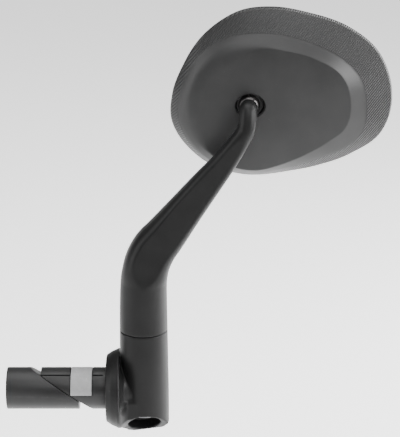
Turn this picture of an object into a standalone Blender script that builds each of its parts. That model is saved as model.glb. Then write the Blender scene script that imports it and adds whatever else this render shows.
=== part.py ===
"""A bar-end bicycle mirror: an expanding plug, a turning base, a swivelling arm and a ball-jointed head.

Sizes below are in millimetres and are turned into metres as each mesh is made.
The origin is on the plug's axis, at the face that seats on the end of the handlebar.
+X points out of the bar, +Y to the rider and +Z up along the base.
"""
import math

import bmesh
import bpy
from mathutils import Matrix, Vector

MM = 0.001
GAP = 0.3  # between neighbouring pieces
FLATNESS = 0.005  # a face that is bent by more than this is split in two

# Plug, which goes into the bar; it is rolled about the bar's axis
PLUG_R = 8.5
PLUG_ROLL = math.radians(-18.0)
PLUG_END_X = -40.2
WEDGE_TIP_X = -11.0
SLEEVE_TIP_X = -26.4
RAMP_X = -18.0  # where the sloping joint crosses the axis
RAMP_ANGLE = math.radians(34.0)
WEDGE_TRAVEL_X = 2.4
SPIGOT_R = 6.5
SPIGOT_END_X = 20.0
SLEEVE_BORE_R = 2.8
HEAD_POCKET_R = 4.7
HEAD_POCKET_X = 4.0
BAND_X0, BAND_X1 = -14.2, -5.7
BAND_T = 1.2
BAND_LOW_Z = -2.3
SLIT_Z = 5.5
SLIT_W = 0.5
SLIT_DEPTH = 1.2
SEAL_X = 2.0
SEAL_WIRE_R = 0.6

# M5 expander bolt with its washer and square nut
BOLT_R = 2.5
BOLT_HEAD_R = 4.25
BOLT_HEAD_H = 5.0
BOLT_KEY_R = 2.3
BOLT_KEY_DEPTH = 2.8
BOLT_END_X = -39.0
WASHER_T = 0.8
NUT_W = 8.0
NUT_T = 4.0
NUT_SEAT_X = -34.0

# Base: collar round the plug's axis, tube round a vertical axis
TUBE_X = 15.3
TUBE_R = 10.0
TUBE_TOP_R = 9.65
SEAM_Z = 26.0
BASE_BOTTOM_Z = -18.4
COLLAR_R = 16.3
COLLAR_FACE_R = 13.6
COLLAR_T = 5.7
COLLAR_BLEND_X = 11.0  # where the fill under the collar has become the tube's own shape
FILL_START = math.radians(-20.0)  # below the horizontal, where the fill leaves the hub
FILL_FULL = math.radians(25.0)
INNER_EDGE = math.radians(33.0)  # slope of the foot next to the collar
OUTER_EDGE_W = 4.0
COUNTERBORE_R = PLUG_R + GAP
COUNTERBORE_T = 2 * GAP
HUB_R = 8.4
HUB_BLEND = ((0.0, 13.2), (2.2, 10.4), (5.0, 9.0))  # past the collar's back: (distance, radius)
FOOT_TILT = math.radians(8.0)  # the foot rises towards the outboard side
FACET_OFFSET = 13.1  # from the plug's axis to the sloping face under the tube
REAR_OFFSET = 16.4
SPIGOT_BORE_R = SPIGOT_R + GAP
SPIGOT_BORE_END_X = SPIGOT_END_X + 1.2

# Clamp screw, an M8 set screw in a wide recess under the tube
RECESS_R = 6.6
RECESS_SHIFT = 5.6  # along the sloping face, from the line through the plug's axis
RECESS_FLOOR = 8.7
RECESS_BACK = 1.8  # towards the collar
CLAMP_ANGLE = math.pi / 4 + math.atan(RECESS_SHIFT / RECESS_FLOOR)  # below the horizontal
CLAMP_R = 4.0
CLAMP_LENGTH = 3.4
CLAMP_BACK_OFF = 1.25  # one turn of its M8 thread
CLAMP_KEY_R = 2.3
CLAMP_PAD_T = 1.2

# Swivel between the base and the arm
PIVOT_R = 6.0
PIVOT_BOTTOM_Z = 10.0
PIVOT_ROOT_R = 4.2
PIVOT_ROOT_L = 9.0
PIVOT_GROOVE_Z = 16.0
PIVOT_GROOVE_W = 4.2
PIVOT_GROOVE_R = 4.8
RING_Z = 22.4
RING_WIRE_R = 0.7
SLIP_R = 8.2
SLIP_T = 0.8
SWIVEL_R = 2.5
SWIVEL_LENGTH = 3.2
SWIVEL_KEY_R = 1.45
SWIVEL_PAD_T = 1.0

# Arm: stations (x, y, z, half width, half depth, distance to its flat front); a far front cuts nothing
ARM_STATIONS = (
    (TUBE_X, 0.0, SEAM_Z + GAP, TUBE_TOP_R, TUBE_TOP_R, 12.0),
    (15.3, 0.0, 36.0, 9.5, 9.5, 10.6),
    (15.5, 0.0, 45.5, 9.3, 9.3, 9.4),
    (16.2, 0.0, 51.0, 9.2, 9.1, 8.5),
    (17.6, 0.0, 56.0, 9.05, 8.8, 7.9),
    (20.2, 0.0, 60.9, 8.75, 8.3, 7.3),
    (24.4, 0.0, 66.2, 8.1, 7.7, 6.7),
    (32.5, 0.0, 76.9, 6.85, 6.5, 5.5),
    (40.6, 0.0, 87.4, 5.75, 5.2, 4.6),
    (46.7, 0.0, 95.1, 4.8, 4.4, 4.0),
    (52.7, 0.1, 103.6, 3.9, 3.9, 3.7),
    (55.9, 0.7, 109.2, 3.6, 3.6, 4.2),
)
ARM_SQUARE = 2.8  # how square the flat part of the arm is; 2 is an ellipse
ARM_SQUARE_AT = 0.1  # share of the depth that the flat has taken where the arm is fully square
NECK_R = 3.6

# Ball joint; the ball's centre is the head's own origin
BALL = Vector((57.5, 17.4, 115.4))
BALL_R = 5.5
NECK_SLANT = math.radians(4.0)
NECK_END = 8.9  # from the ball's centre back to the end of the arm
STUD_COLLAR_L = 1.0
STUD_R = 2.9
STUD_ROOT_R = 2.1
STUD_ROOT_L = 4.2
SEAT_T = 1.0
SEAT_SPLIT = math.radians(11.0)  # each seat ends this far from the middle, so that one can tip
SEAT_R = BALL_R + GAP
SOCKET_R = SEAT_R + SEAT_T + GAP

# Head, measured from the ball's centre; outlines are (angle, radius) seen from the front
OUTLINE = (
    (0, 56.6), (20, 54.6), (38, 48.4), (55, 42.4), (75, 38.7), (95, 36.3), (120, 32.7), (150, 30.0),
    (175, 30.8), (195, 32.1), (225, 31.1), (265, 31.0), (295, 33.0), (315, 38.5), (332, 46.7), (345, 54.0),
)
SHOULDER = (
    (0, 45.4), (14, 43.9), (43, 33.9), (62, 30.0), (90, 27.4), (125, 27.0), (160, 27.2), (200, 28.4),
    (235, 28.2), (270, 28.6), (300, 30.6), (320, 35.2), (334, 41.6), (346, 45.6),
)
PLATEAU = (
    (0, 39.5), (18, 37.5), (38, 30.8), (60, 25.4), (90, 23.2), (125, 23.0), (160, 23.2), (200, 23.8),
    (233, 25.0), (270, 26.6), (298, 27.3), (318, 29.9), (334, 34.2), (346, 38.6),
)
PLATEAU_Y = -6.4
PLATEAU_EDGE_Y = -5.3
SHOULDER_Y = -1.8
RIM_Y = 2.2
WIDEST_Y = 3.4
LIP_Y = 13.4
LIP_DRAFT = 2.0
WALL = 1.6
HOLE_RX, HOLE_RZ = 6.1, 5.0
HOLE_CHAMFER = 0.45
BOSS_R = 12.0
RETAINER_T = 1.8
SPRING_T = 0.5
SCREW_CIRCLE_R = 9.5
SCREW_R = 1.1
SCREW_HEAD_R = 1.9
SCREW_LENGTH = 7.0
SCREW_COUNT = 3
GLASS_RADIUS = 500.0  # of the convex glass
GLASS_RIM_R = 45.0  # where the glass's curve meets its rim level
GLASS_T = 2.0
GLASS_MID = (12.0, 3.0)
PAD_T = 0.4
CARRIER_T = 1.2
CARRIER_LIFT = 1.6  # lets the curved carrier clear the retainer
GASKET_LIFT = 1.3  # lets the flat gasket clear the curved carrier
PAD_INSET = 3.0
BOSS_RISE = 0.6
GASKET_W = 1.0

ROUND = 28  # sides of a turned piece
FINE_ROUND = 24  # sides of a small one
HEAD_SIDES = 44
ARM_SIDES = 24


def material(name, color, roughness, metallic=0.0):
    """Make a plain Principled finish."""
    finish = bpy.data.materials.new(name)
    finish.use_nodes = True
    shader = finish.node_tree.nodes["Principled BSDF"]
    shader.inputs["Base Color"].default_value = (*color, 1.0)
    shader.inputs["Roughness"].default_value = roughness
    shader.inputs["Metallic"].default_value = metallic
    return finish


def empty(name, parent=None, location=(0, 0, 0), rotation=None):
    """Add an empty that other pieces are placed from."""
    frame = bpy.data.objects.new(name, None)
    bpy.context.scene.collection.objects.link(frame)
    frame.parent = parent
    frame.location = Vector(location) * MM
    if rotation:
        frame.rotation_euler = rotation
    return frame


def loft(name, rings, finish, parent=None, location=(0, 0, 0), axis=None, closed=False, spin=0.0):
    """Join rings of points into one closed body. A ring of one point is a pole.

    With an axis, the rings' +Z is turned to lie along it, after a spin about it.
    """
    bm = bmesh.new()
    loops = [[bm.verts.new(Vector(p) * MM) for p in ring] for ring in rings]
    pairs = list(zip(loops, loops[1:]))
    if closed:
        pairs.append((loops[-1], loops[0]))
    for a, b in pairs:
        count = max(len(a), len(b))
        for i in range(count):
            j = (i + 1) % count
            corners = [a[i % len(a)], a[j % len(a)], b[j % len(b)], b[i % len(b)]]
            bm.faces.new(list(dict.fromkeys(corners)))
    if not closed:
        for end in (loops[0], loops[-1]):
            if len(end) > 2:
                bm.faces.new(end)
    bmesh.ops.recalc_face_normals(bm, faces=bm.faces)
    bent = [f for f in bm.faces if len(f.verts) == 4
            and max(abs((v.co - f.verts[0].co).dot(f.normal)) for v in f.verts) > FLATNESS * MM]
    bmesh.ops.triangulate(bm, faces=bent)
    mesh = bpy.data.meshes.new(name)
    bm.to_mesh(mesh)
    bm.free()
    mesh.shade_smooth()
    mesh.set_sharp_from_angle(angle=math.radians(35))
    mesh.materials.append(finish)
    obj = bpy.data.objects.new(name, mesh)
    bpy.context.scene.collection.objects.link(obj)
    obj.parent = parent
    obj.location = Vector(location) * MM
    if axis is not None:
        turn = Vector(axis).to_track_quat("Z", "Y") @ Matrix.Rotation(spin, 3, "Z").to_quaternion()
        obj.rotation_mode = "QUATERNION"
        obj.rotation_quaternion = turn
    return obj


def circle(radius, along, sides=ROUND):
    """Points of a circle about Z, or its pole when the radius is 0."""
    if radius == 0:
        return [(0, 0, along)]
    steps = [2 * math.pi * i / sides for i in range(sides)]
    return [(radius * math.cos(a), radius * math.sin(a), along) for a in steps]


def turned(name, profile, finish, sides=ROUND, **place):
    """Turn a profile of (along, radius) points about its axis; a flat end on the axis is one face."""
    if profile[0] == (profile[1][0], 0):
        profile = profile[1:]
    if profile[-1] == (profile[-2][0], 0):
        profile = profile[:-1]
    return loft(name, [circle(r, s, sides) for s, r in profile], finish, **place)


def box(name, low, high, finish, **place):
    """Make a box between two corners."""
    (x0, y0, z0), (x1, y1, z1) = low, high
    plan = [(x0, y0), (x1, y0), (x1, y1), (x0, y1)]
    return loft(name, [[(x, y, z) for x, y in plan] for z in (z0, z1)], finish, **place)


def arc(radius, start, end, steps, center=(0.0, 0.0)):
    """Points (along, radius) of a round stretch; angles run from the profile's own axis."""
    angles = [start + (end - start) * i / steps for i in range(steps + 1)]
    return [(center[0] + radius * math.cos(a), center[1] + radius * math.sin(a)) for a in angles]


def apply_boolean(obj, other, operation):
    """Cut or join with another body, which is only a guide and isn't a piece."""
    other.hide_render = True
    other.display_type = "WIRE"
    step = obj.modifiers.new(f"{operation.lower()} {other.name}", "BOOLEAN")
    step.operation = operation
    step.object = other


def cut(obj, *others):
    """Take guides away from a piece."""
    for other in others:
        apply_boolean(obj, other, "DIFFERENCE")


def join(obj, *others):
    """Add guides to a piece."""
    for other in others:
        apply_boolean(obj, other, "UNION")


def band(name, r0, r1, x0, x1, low_z, finish, parent, steps=20):
    """A strip round the X axis, open below a level."""
    start = math.asin(low_z / r1)
    rings = []
    for i in range(steps + 1):
        a = start + (math.pi - 2 * start) * i / steps
        c, s = math.cos(a), math.sin(a)
        rings.append([(x, r * c, r * s) for x, r in ((x0, r0), (x1, r0), (x1, r1), (x0, r1))])
    return loft(name, rings, finish, parent=parent)


def wire_ring(name, radius, wire, along, finish, **place):
    """A round rubber or steel ring about the axis."""
    steps = [2 * math.pi * i / 8 for i in range(8)]
    profile = [(along + wire * math.cos(a), radius + wire * math.sin(a)) for a in steps]
    return turned(name, profile, finish, closed=True, **place)


def build_plug(finishes):
    """The plug's fixed sleeve, its bolt and the wedge that the bolt draws along the ramp."""
    plastic, metal, grey, rubber = (finishes[k] for k in ("plug", "steel", "grey", "rubber"))
    frame = empty("plug_frame", rotation=(PLUG_ROLL, 0, 0))
    out = (1, 0, 0)
    reach = 3 * PLUG_R
    edge = 0.5

    seal_room = SEAL_WIRE_R + GAP
    seal_r = SPIGOT_R + GAP / 2 - SEAL_WIRE_R
    sleeve = turned("expander_sleeve", [
        (SLEEVE_TIP_X, SLEEVE_BORE_R), (SLEEVE_TIP_X, PLUG_R), (GAP, PLUG_R),
        (GAP, SPIGOT_R), (SEAL_X - seal_room, SPIGOT_R), (SEAL_X - seal_room, seal_r - seal_room),
        (SEAL_X + seal_room, seal_r - seal_room), (SEAL_X + seal_room, SPIGOT_R),
        (SPIGOT_END_X - edge, SPIGOT_R), (SPIGOT_END_X, SPIGOT_R - edge), (SPIGOT_END_X, HEAD_POCKET_R),
        (HEAD_POCKET_X, HEAD_POCKET_R), (HEAD_POCKET_X, SLEEVE_BORE_R),
    ], plastic, closed=True, parent=frame, axis=out)
    ramp = empty("ramp", parent=frame, location=(RAMP_X, 0, 0), rotation=(0, RAMP_ANGLE, 0))
    below = box("below_ramp", (-reach, -reach, -reach), (reach, reach, GAP / 2), plastic, parent=ramp)
    above = box("above_ramp", (-reach, -reach, -GAP / 2), (reach, reach, reach), plastic, parent=ramp)
    groove_r = PLUG_R - BAND_T - GAP
    groove = band("band_groove", groove_r, PLUG_R + 1, BAND_X0 - GAP, BAND_X1 + GAP,
                  BAND_LOW_Z - GAP, plastic, frame)
    slits = []
    for side in (-1, 1):
        y = side * math.sqrt(PLUG_R ** 2 - SLIT_Z ** 2)
        low = (SLEEVE_TIP_X - 1, min(y - side * SLIT_DEPTH, y + side), SLIT_Z)
        high = (-1.2, max(y - side * SLIT_DEPTH, y + side), SLIT_Z + SLIT_W)
        slits.append(box(f"slit_{side}", low, high, plastic, parent=frame))
    cut(sleeve, below, groove, *slits)
    band("retaining_band", groove_r + GAP, PLUG_R, BAND_X0, BAND_X1, BAND_LOW_Z, grey, frame)
    wire_ring("spigot_seal", seal_r, SEAL_WIRE_R, SEAL_X, rubber, parent=frame, axis=out)

    shift = WEDGE_TRAVEL_X * math.tan(RAMP_ANGLE)
    wedge = turned("expander_wedge", [
        (PLUG_END_X, 0), (PLUG_END_X, PLUG_R - edge), (PLUG_END_X + edge, PLUG_R), (WEDGE_TIP_X, PLUG_R),
        (WEDGE_TIP_X, 0),
    ], plastic, parent=frame, axis=out)
    slot = loft("bolt_slot", [
        [(x, SLEEVE_BORE_R * math.cos(a), SLEEVE_BORE_R * math.sin(a) + (shift if a <= math.pi else 0))
         for a in (math.pi * (i + 0.5) / 8 for i in range(16))]
        for x in (PLUG_END_X - 1, WEDGE_TIP_X + 1)
    ], plastic, parent=frame)
    half = NUT_W / 2 + GAP
    pocket = box("nut_pocket", (PLUG_END_X - 1, -half, -half), (NUT_SEAT_X, half, half + shift),
                 plastic, parent=frame)
    cut(wedge, above, slot, pocket)

    nut = box("wedge_nut", (-NUT_W / 2, -NUT_W / 2, -NUT_T), (NUT_W / 2, NUT_W / 2, 0), metal,
              parent=frame, location=(NUT_SEAT_X - GAP, 0, 0), axis=out)
    thread = turned("nut_thread", [(-NUT_T - 1, 0), (-NUT_T - 1, BOLT_R + GAP), (1, BOLT_R + GAP), (1, 0)],
                    metal, sides=FINE_ROUND, parent=frame, location=(NUT_SEAT_X - GAP, 0, 0), axis=out)
    cut(nut, thread)

    washer_x = HEAD_POCKET_X + GAP
    turned("bolt_washer", [
        (washer_x, BOLT_R + GAP), (washer_x, BOLT_HEAD_R), (washer_x + WASHER_T, BOLT_HEAD_R),
        (washer_x + WASHER_T, BOLT_R + GAP),
    ], metal, sides=FINE_ROUND, closed=True, parent=frame, axis=out)
    head_x = washer_x + WASHER_T + GAP
    top_x = head_x + BOLT_HEAD_H
    bolt = turned("expander_bolt", [
        (BOLT_END_X, 0), (BOLT_END_X, BOLT_R - edge), (BOLT_END_X + edge, BOLT_R), (head_x, BOLT_R),
        (head_x, BOLT_HEAD_R), (top_x - edge, BOLT_HEAD_R), (top_x, BOLT_HEAD_R - edge), (top_x, 0),
    ], metal, sides=FINE_ROUND, parent=frame, axis=out)
    key = turned("bolt_key", [(top_x - BOLT_KEY_DEPTH, 0), (top_x - BOLT_KEY_DEPTH, BOLT_KEY_R),
                              (top_x + 1, BOLT_KEY_R), (top_x + 1, 0)],
                 metal, sides=6, parent=frame, axis=out)
    cut(bolt, key)


def build_set_screw(name, pad_name, frame, start, pad_t, radius, length, key_r, finishes):
    """A set screw and the pad that it pushes, along the frame's +Z from a distance."""
    edge = 0.4
    turned(pad_name, [
        (start, 0), (start, radius - 2 * edge), (start + pad_t, radius - 2 * edge), (start + pad_t, 0),
    ], finishes["brass"], sides=20, parent=frame)
    base = start + pad_t + GAP
    top = base + length
    screw = turned(name, [
        (base, 0), (base, radius - edge), (base + edge, radius), (top - edge, radius), (top, radius - edge),
        (top, 0),
    ], finishes["steel"], sides=FINE_ROUND, parent=frame)
    key = turned(f"{name}_key", [
        (base + length * 0.3, 0), (base + length * 0.3, key_r), (top + 1, key_r), (top + 1, 0),
    ], finishes["steel"], sides=6, parent=frame)
    cut(screw, key)


def fill_rings(steps=18):
    """Sections across X of the fill that blends the collar into the foot of the tube."""
    rings = []
    first = COLLAR_T - 1.0
    for x in (first, COLLAR_T + 0.8, COLLAR_T + 2.6, COLLAR_BLEND_X - 0.6, COLLAR_BLEND_X + 1.5, TUBE_X):
        share = min(max((x - COLLAR_T) / (COLLAR_BLEND_X - COLLAR_T), 0), 1)
        lower = (TUBE_X - x) * math.tan(FOOT_TILT)
        ring = []
        for i in range(steps + 1):
            down = FILL_START + (math.pi - 2 * FILL_START) * i / steps
            c, s = math.cos(down), math.sin(down)
            reach = min(
                (TUBE_R - GAP) / max(abs(c), 0.01),
                (lower - BASE_BOTTOM_Z - GAP) / max(s, 0.01),
                (FACET_OFFSET + lower * math.sqrt(0.5)) / max(math.cos(down - math.pi / 4), 0.01),
                (REAR_OFFSET + lower * math.sqrt(0.5)) / max(math.cos(down - 3 * math.pi / 4), 0.01))
            full = (1 - share) * (COLLAR_R - GAP) + share * reach
            t = min(max((min(down, math.pi - down) - FILL_START) / (FILL_FULL - FILL_START), 0), 1)
            r = HUB_R - 2 * GAP + (full - HUB_R + 2 * GAP) * t * t * (3 - 2 * t)
            ring.append((x, -r * c, -r * s))
        rings.append(ring)
    return rings


def build_base(finishes):
    """The moulded base with its collar, tube and screws; it turns on the spigot."""
    plastic = finishes["plastic"]
    frame = empty("base_frame")
    out = (1, 0, 0)
    reach = 4 * TUBE_R
    low_z = BASE_BOTTOM_Z - TUBE_R * math.tan(FOOT_TILT)
    body = turned("base_body", [
        (low_z, TUBE_R), (0, TUBE_R), (SEAM_Z - GAP, TUBE_TOP_R), (SEAM_Z, TUBE_TOP_R - GAP), (SEAM_Z, 0),
    ], plastic, sides=40, parent=frame, location=(TUBE_X, 0, 0))
    collar = turned("collar", [
        (0, 0), (0, COLLAR_FACE_R), (COLLAR_T * 0.4, (COLLAR_FACE_R + 2 * COLLAR_R) / 3 - 0.3),
        (COLLAR_T - 0.6, COLLAR_R), (COLLAR_T, COLLAR_R - 0.4),
        *((COLLAR_T + past, radius) for past, radius in HUB_BLEND), (TUBE_X, HUB_R), (TUBE_X, 0),
    ], plastic, sides=44, parent=frame, axis=out)
    knuckle = loft("knuckle", fill_rings(), plastic, parent=frame)
    foot = empty("foot_frame", parent=frame, location=(TUBE_X, 0, 0), rotation=(0, -FOOT_TILT, 0))
    facets = [box("under_foot", (-reach, -reach, -reach), (reach, reach, BASE_BOTTOM_Z), plastic,
                  parent=foot)]
    for side, offset in ((1, REAR_OFFSET), (-1, FACET_OFFSET)):
        tilt = empty(f"facet_{side}", parent=foot, rotation=(math.pi + side * math.pi / 4, 0, 0))
        facets.append(box(f"under_facet_{side}", (-reach, -reach, offset), (reach, reach, reach),
                          plastic, parent=tilt))
    outer_edge = empty("outer_edge", parent=foot, location=(TUBE_R - OUTER_EDGE_W, 0, BASE_BOTTOM_Z),
                       rotation=(0, -math.pi / 4, 0))
    facets.append(box("under_outer_edge", (-reach, -reach, -reach), (reach, reach, 2 * GAP),
                      plastic, parent=outer_edge))
    inner_edge = empty("inner_edge", parent=frame, location=(COLLAR_T, 0, GAP - COLLAR_R),
                       rotation=(0, INNER_EDGE, 0))
    facets.append(box("under_inner_edge", (-reach, -reach, -reach), (reach, reach, 0),
                      plastic, parent=inner_edge))
    cut(body, *facets)
    join(body, collar, knuckle)
    bore = turned("spigot_bore", [
        (-1, 0), (-1, COUNTERBORE_R), (COUNTERBORE_T, COUNTERBORE_R), (COUNTERBORE_T, SPIGOT_BORE_R),
        (SPIGOT_BORE_END_X, SPIGOT_BORE_R), (SPIGOT_BORE_END_X, 0),
    ], plastic, parent=frame, axis=out)
    pivot_r = PIVOT_R + GAP
    floor_z = PIVOT_BOTTOM_Z - 2 * GAP
    well = turned("pivot_bore", [
        (floor_z, 0), (floor_z, pivot_r), (SEAM_Z - SLIP_T - GAP, pivot_r),
        (SEAM_Z - SLIP_T - GAP, SLIP_R + GAP), (SEAM_Z + 1, SLIP_R + GAP), (SEAM_Z + 1, 0),
    ], plastic, parent=frame, location=(TUBE_X, 0, 0))
    clamp_top = SPIGOT_R + CLAMP_PAD_T + CLAMP_LENGTH + CLAMP_BACK_OFF + 3 * GAP
    clamp_frame = empty("clamp_frame", parent=frame, location=(TUBE_X, 0, 0),
                        rotation=(math.pi / 2 + CLAMP_ANGLE, 0, 0))
    clamp_hole = turned("clamp_hole", [
        (SPIGOT_R, 0), (SPIGOT_R, CLAMP_R + GAP), (clamp_top, CLAMP_R + GAP), (clamp_top, 0),
    ], plastic, sides=FINE_ROUND, parent=clamp_frame)
    facet_frame = empty("recess_frame", parent=foot, rotation=(math.pi * 3 / 4, 0, 0))
    recess = turned("clamp_recess", [
        (RECESS_FLOOR, 0), (RECESS_FLOOR, RECESS_R), (reach, RECESS_R), (reach, 0),
    ], plastic, parent=facet_frame, location=(-RECESS_BACK, -RECESS_SHIFT, 0))
    swivel_frame = empty("swivel_frame", parent=frame, location=(TUBE_X, 0, PIVOT_GROOVE_Z),
                         rotation=(-math.pi / 2, 0, 0))
    swivel_hole = turned("swivel_hole", [
        (PIVOT_R, 0), (PIVOT_R, SWIVEL_R + GAP), (2 * TUBE_R, SWIVEL_R + GAP), (2 * TUBE_R, 0),
    ], plastic, sides=FINE_ROUND, parent=swivel_frame)
    cut(body, bore, well, clamp_hole, recess, swivel_hole)
    build_set_screw("clamp_screw", "clamp_pad", clamp_frame, SPIGOT_R + GAP, CLAMP_PAD_T, CLAMP_R,
                    CLAMP_LENGTH, CLAMP_KEY_R, finishes)
    build_set_screw("swivel_screw", "swivel_pad", swivel_frame, PIVOT_GROOVE_R + GAP, SWIVEL_PAD_T,
                    SWIVEL_R, SWIVEL_LENGTH, SWIVEL_KEY_R, finishes)
    turned("slip_washer", [
        (SEAM_Z - SLIP_T, pivot_r), (SEAM_Z - SLIP_T, SLIP_R), (SEAM_Z, SLIP_R), (SEAM_Z, pivot_r),
    ], finishes["nylon"], closed=True, parent=frame, location=(TUBE_X, 0, 0))


def smooth_path(points, steps):
    """Points of every number in a row of stations, read from a curve through them."""
    last = len(points) - 1
    out = []
    for i in range(last):
        p0, p1, p2, p3 = (points[max(0, min(last, i + k))] for k in (-1, 0, 1, 2))
        for j in range(steps):
            t = j / steps
            out.append([0.5 * (2 * b + (c - a) * t + (2 * a - 5 * b + 4 * c - d) * t * t
                               + (3 * b - a - 3 * c + d) * t ** 3)
                        for a, b, c, d in zip(p0, p1, p2, p3)])
    out.append(list(points[last]))
    return out


def neck_direction():
    """The way from the end of the arm to the ball."""
    return Vector((math.sin(NECK_SLANT), math.cos(NECK_SLANT), 0))


def arm_rings(sides=ARM_SIDES, steps=2):
    """Cross-sections of the arm from the seam to the end of its neck."""
    neck = neck_direction()
    stations = list(ARM_STATIONS)
    for along, lift in ((5.6, -0.45), (2.8, 0.0), (0.0, 0.0)):
        p = BALL - neck * (NECK_END + along) + Vector((0, 0, lift))
        stations.append((p.x, p.y, p.z, NECK_R, NECK_R, 2 * NECK_R))
    path = smooth_path(stations, steps)
    centers = [Vector(p[:3]) for p in path]
    front = Vector((0, -1, 0))
    rings = []
    for i, (x, y, z, w, d, flat) in enumerate(path):
        ahead = centers[min(i + 1, len(path) - 1)] - centers[max(i - 1, 0)]
        if i == 0:
            ahead = Vector((0, 0, 1))
        if i == len(path) - 1:
            ahead = neck
        ahead.normalize()
        front = (front - ahead * front.dot(ahead)).normalized()
        side = front.cross(ahead)
        taken = min(max((1 - flat / d) / ARM_SQUARE_AT, 0), 1)
        blunt = 2 + (ARM_SQUARE - 2) * taken
        ring = []
        for k in range(sides):
            a = 2 * math.pi * (k + 0.5) / sides
            c, s = math.cos(a), math.sin(a)
            u = w * math.copysign(abs(c) ** (2 / blunt), c)
            v = min(d * math.copysign(abs(s) ** (2 / blunt), s), flat)
            ring.append(centers[i] + side * u + front * v)
        rings.append(ring)
    return rings


def build_arm(finishes):
    """The arm, the pivot pressed into its foot and the ball stud in its neck."""
    frame = empty("arm_frame", location=(TUBE_X, 0, 0))
    offset = Vector((TUBE_X, 0, 0))
    rings = [[p - offset for p in ring] for ring in arm_rings()]
    body = loft("arm_body", rings, finishes["plastic"], parent=frame)
    arm_foot = ARM_STATIONS[0][2]
    root_r = PIVOT_ROOT_R + GAP
    root_top = arm_foot + PIVOT_ROOT_L
    socket = turned("pivot_socket", [
        (arm_foot - 1, 0), (arm_foot - 1, root_r), (root_top, root_r), (root_top, 0),
    ], finishes["plastic"], parent=frame)
    neck = neck_direction()
    stud_bore = turned("stud_bore", [
        (-STUD_ROOT_L, 0), (-STUD_ROOT_L, STUD_ROOT_R + GAP), (1, STUD_ROOT_R + GAP), (1, 0),
    ], finishes["plastic"], sides=20, parent=frame, location=BALL - neck * NECK_END - offset, axis=neck)
    cut(body, socket, stud_bore)

    edge = 0.5
    low = PIVOT_GROOVE_Z - PIVOT_GROOVE_W / 2
    high = PIVOT_GROOVE_Z + PIVOT_GROOVE_W / 2
    ring_room = RING_WIRE_R + GAP / 2
    ring_r = PIVOT_R + GAP / 2 - RING_WIRE_R
    shelf_z = SEAM_Z - GAP
    turned("arm_pivot", [
        (PIVOT_BOTTOM_Z, 0), (PIVOT_BOTTOM_Z, PIVOT_R - edge), (PIVOT_BOTTOM_Z + edge, PIVOT_R),
        (low, PIVOT_R), (low, PIVOT_GROOVE_R), (high, PIVOT_GROOVE_R), (high, PIVOT_R),
        (RING_Z - ring_room, PIVOT_R), (RING_Z - ring_room, ring_r - ring_room),
        (RING_Z + ring_room, ring_r - ring_room), (RING_Z + ring_room, PIVOT_R),
        (shelf_z, PIVOT_R), (shelf_z, PIVOT_ROOT_R), (root_top - GAP, PIVOT_ROOT_R), (root_top - GAP, 0),
    ], finishes["steel"], parent=frame)
    wire_ring("pivot_friction_ring", ring_r, RING_WIRE_R, RING_Z, finishes["rubber"], parent=frame)

    ball_frame = empty("neck_frame", parent=frame, location=BALL - offset)
    root = -NECK_END - STUD_ROOT_L + GAP
    collar = -NECK_END + GAP
    meet = math.pi - math.asin(STUD_R / BALL_R)
    turned("ball_stud", [
        (root, 0), (root, STUD_ROOT_R), (collar, STUD_ROOT_R), (collar, NECK_R - 0.3), (collar + 0.3, NECK_R),
        (collar + STUD_COLLAR_L - 0.3, NECK_R), (collar + STUD_COLLAR_L, NECK_R - 0.3),
        (collar + STUD_COLLAR_L, STUD_R), *arc(BALL_R, meet, math.pi / 10, 8), (BALL_R, 0),
    ], finishes["steel"], parent=ball_frame, axis=neck)
    turned("front_seat", [
        *arc(SEAT_R, math.radians(134), math.pi / 2 + SEAT_SPLIT, 4),
        *arc(SEAT_R + SEAT_T, math.pi / 2 + SEAT_SPLIT, math.radians(134), 4),
    ], finishes["nylon"], closed=True, parent=ball_frame, axis=neck)


def radius_at(outline, angle):
    """Radius of a smooth closed outline at an angle in degrees."""
    count = len(outline)
    angle %= 360
    i = max(k for k in range(count) if outline[k][0] <= angle)
    span = [outline[(i + k) % count] for k in (-1, 0, 1, 2)]
    a = [p[0] + 360 * ((i + k) // count) for p, k in zip(span, (-1, 0, 1, 2))]
    r = [p[1] for p in span]
    width = a[2] - a[1]
    t = (angle - a[1]) / width
    m1 = (r[2] - r[0]) / (a[2] - a[0]) * width
    m2 = (r[3] - r[1]) / (a[3] - a[1]) * width
    return ((2 * t ** 3 - 3 * t ** 2 + 1) * r[1] + (t ** 3 - 2 * t ** 2 + t) * m1
            + (3 * t ** 2 - 2 * t ** 3) * r[2] + (t ** 3 - t ** 2) * m2)


def head_ring(radius, y):
    """One ring round the head; radius and y are numbers or functions of the angle."""
    ring = []
    for k in range(HEAD_SIDES):
        degrees = 360 * k / HEAD_SIDES
        a = math.radians(degrees)
        r = radius(degrees) if callable(radius) else radius
        level = y(r) if callable(y) else y
        ring.append((r * math.cos(a), level, r * math.sin(a)))
    return ring


def inset(outline, amount):
    """An outline moved inward."""
    return lambda degrees: radius_at(outline, degrees) - amount


def hole(extra):
    """The oval hole for the neck, made larger by an amount."""
    def radius(degrees):
        c, s = math.cos(math.radians(degrees)), math.sin(math.radians(degrees))
        return extra + 1 / math.sqrt((c / HOLE_RX) ** 2 + (s / HOLE_RZ) ** 2)
    return radius


def domed_plate(name, outline_inset, back_y, front_y, finish, frame):
    """A thin plate that follows the glass's curve, from one level to another at its rim."""
    def ring(share, level):
        points = []
        for x, _, z in head_ring(inset(OUTLINE, outline_inset), 0):
            away = Vector((x * share - GLASS_MID[0], z * share - GLASS_MID[1])).length
            rise = (GLASS_RIM_R ** 2 - away ** 2) / (2 * GLASS_RADIUS)
            points.append((x * share, level + rise, z * share))
        return points
    shares = (0.35, 0.7, 1.0)
    back = [ring(s, back_y) for s in shares]
    front = [ring(s, front_y) for s in reversed(shares)]
    return loft(name, [[ring(0.0, back_y)[0]], *back, *front, [ring(0.0, front_y)[0]]], finish, parent=frame)


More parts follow.
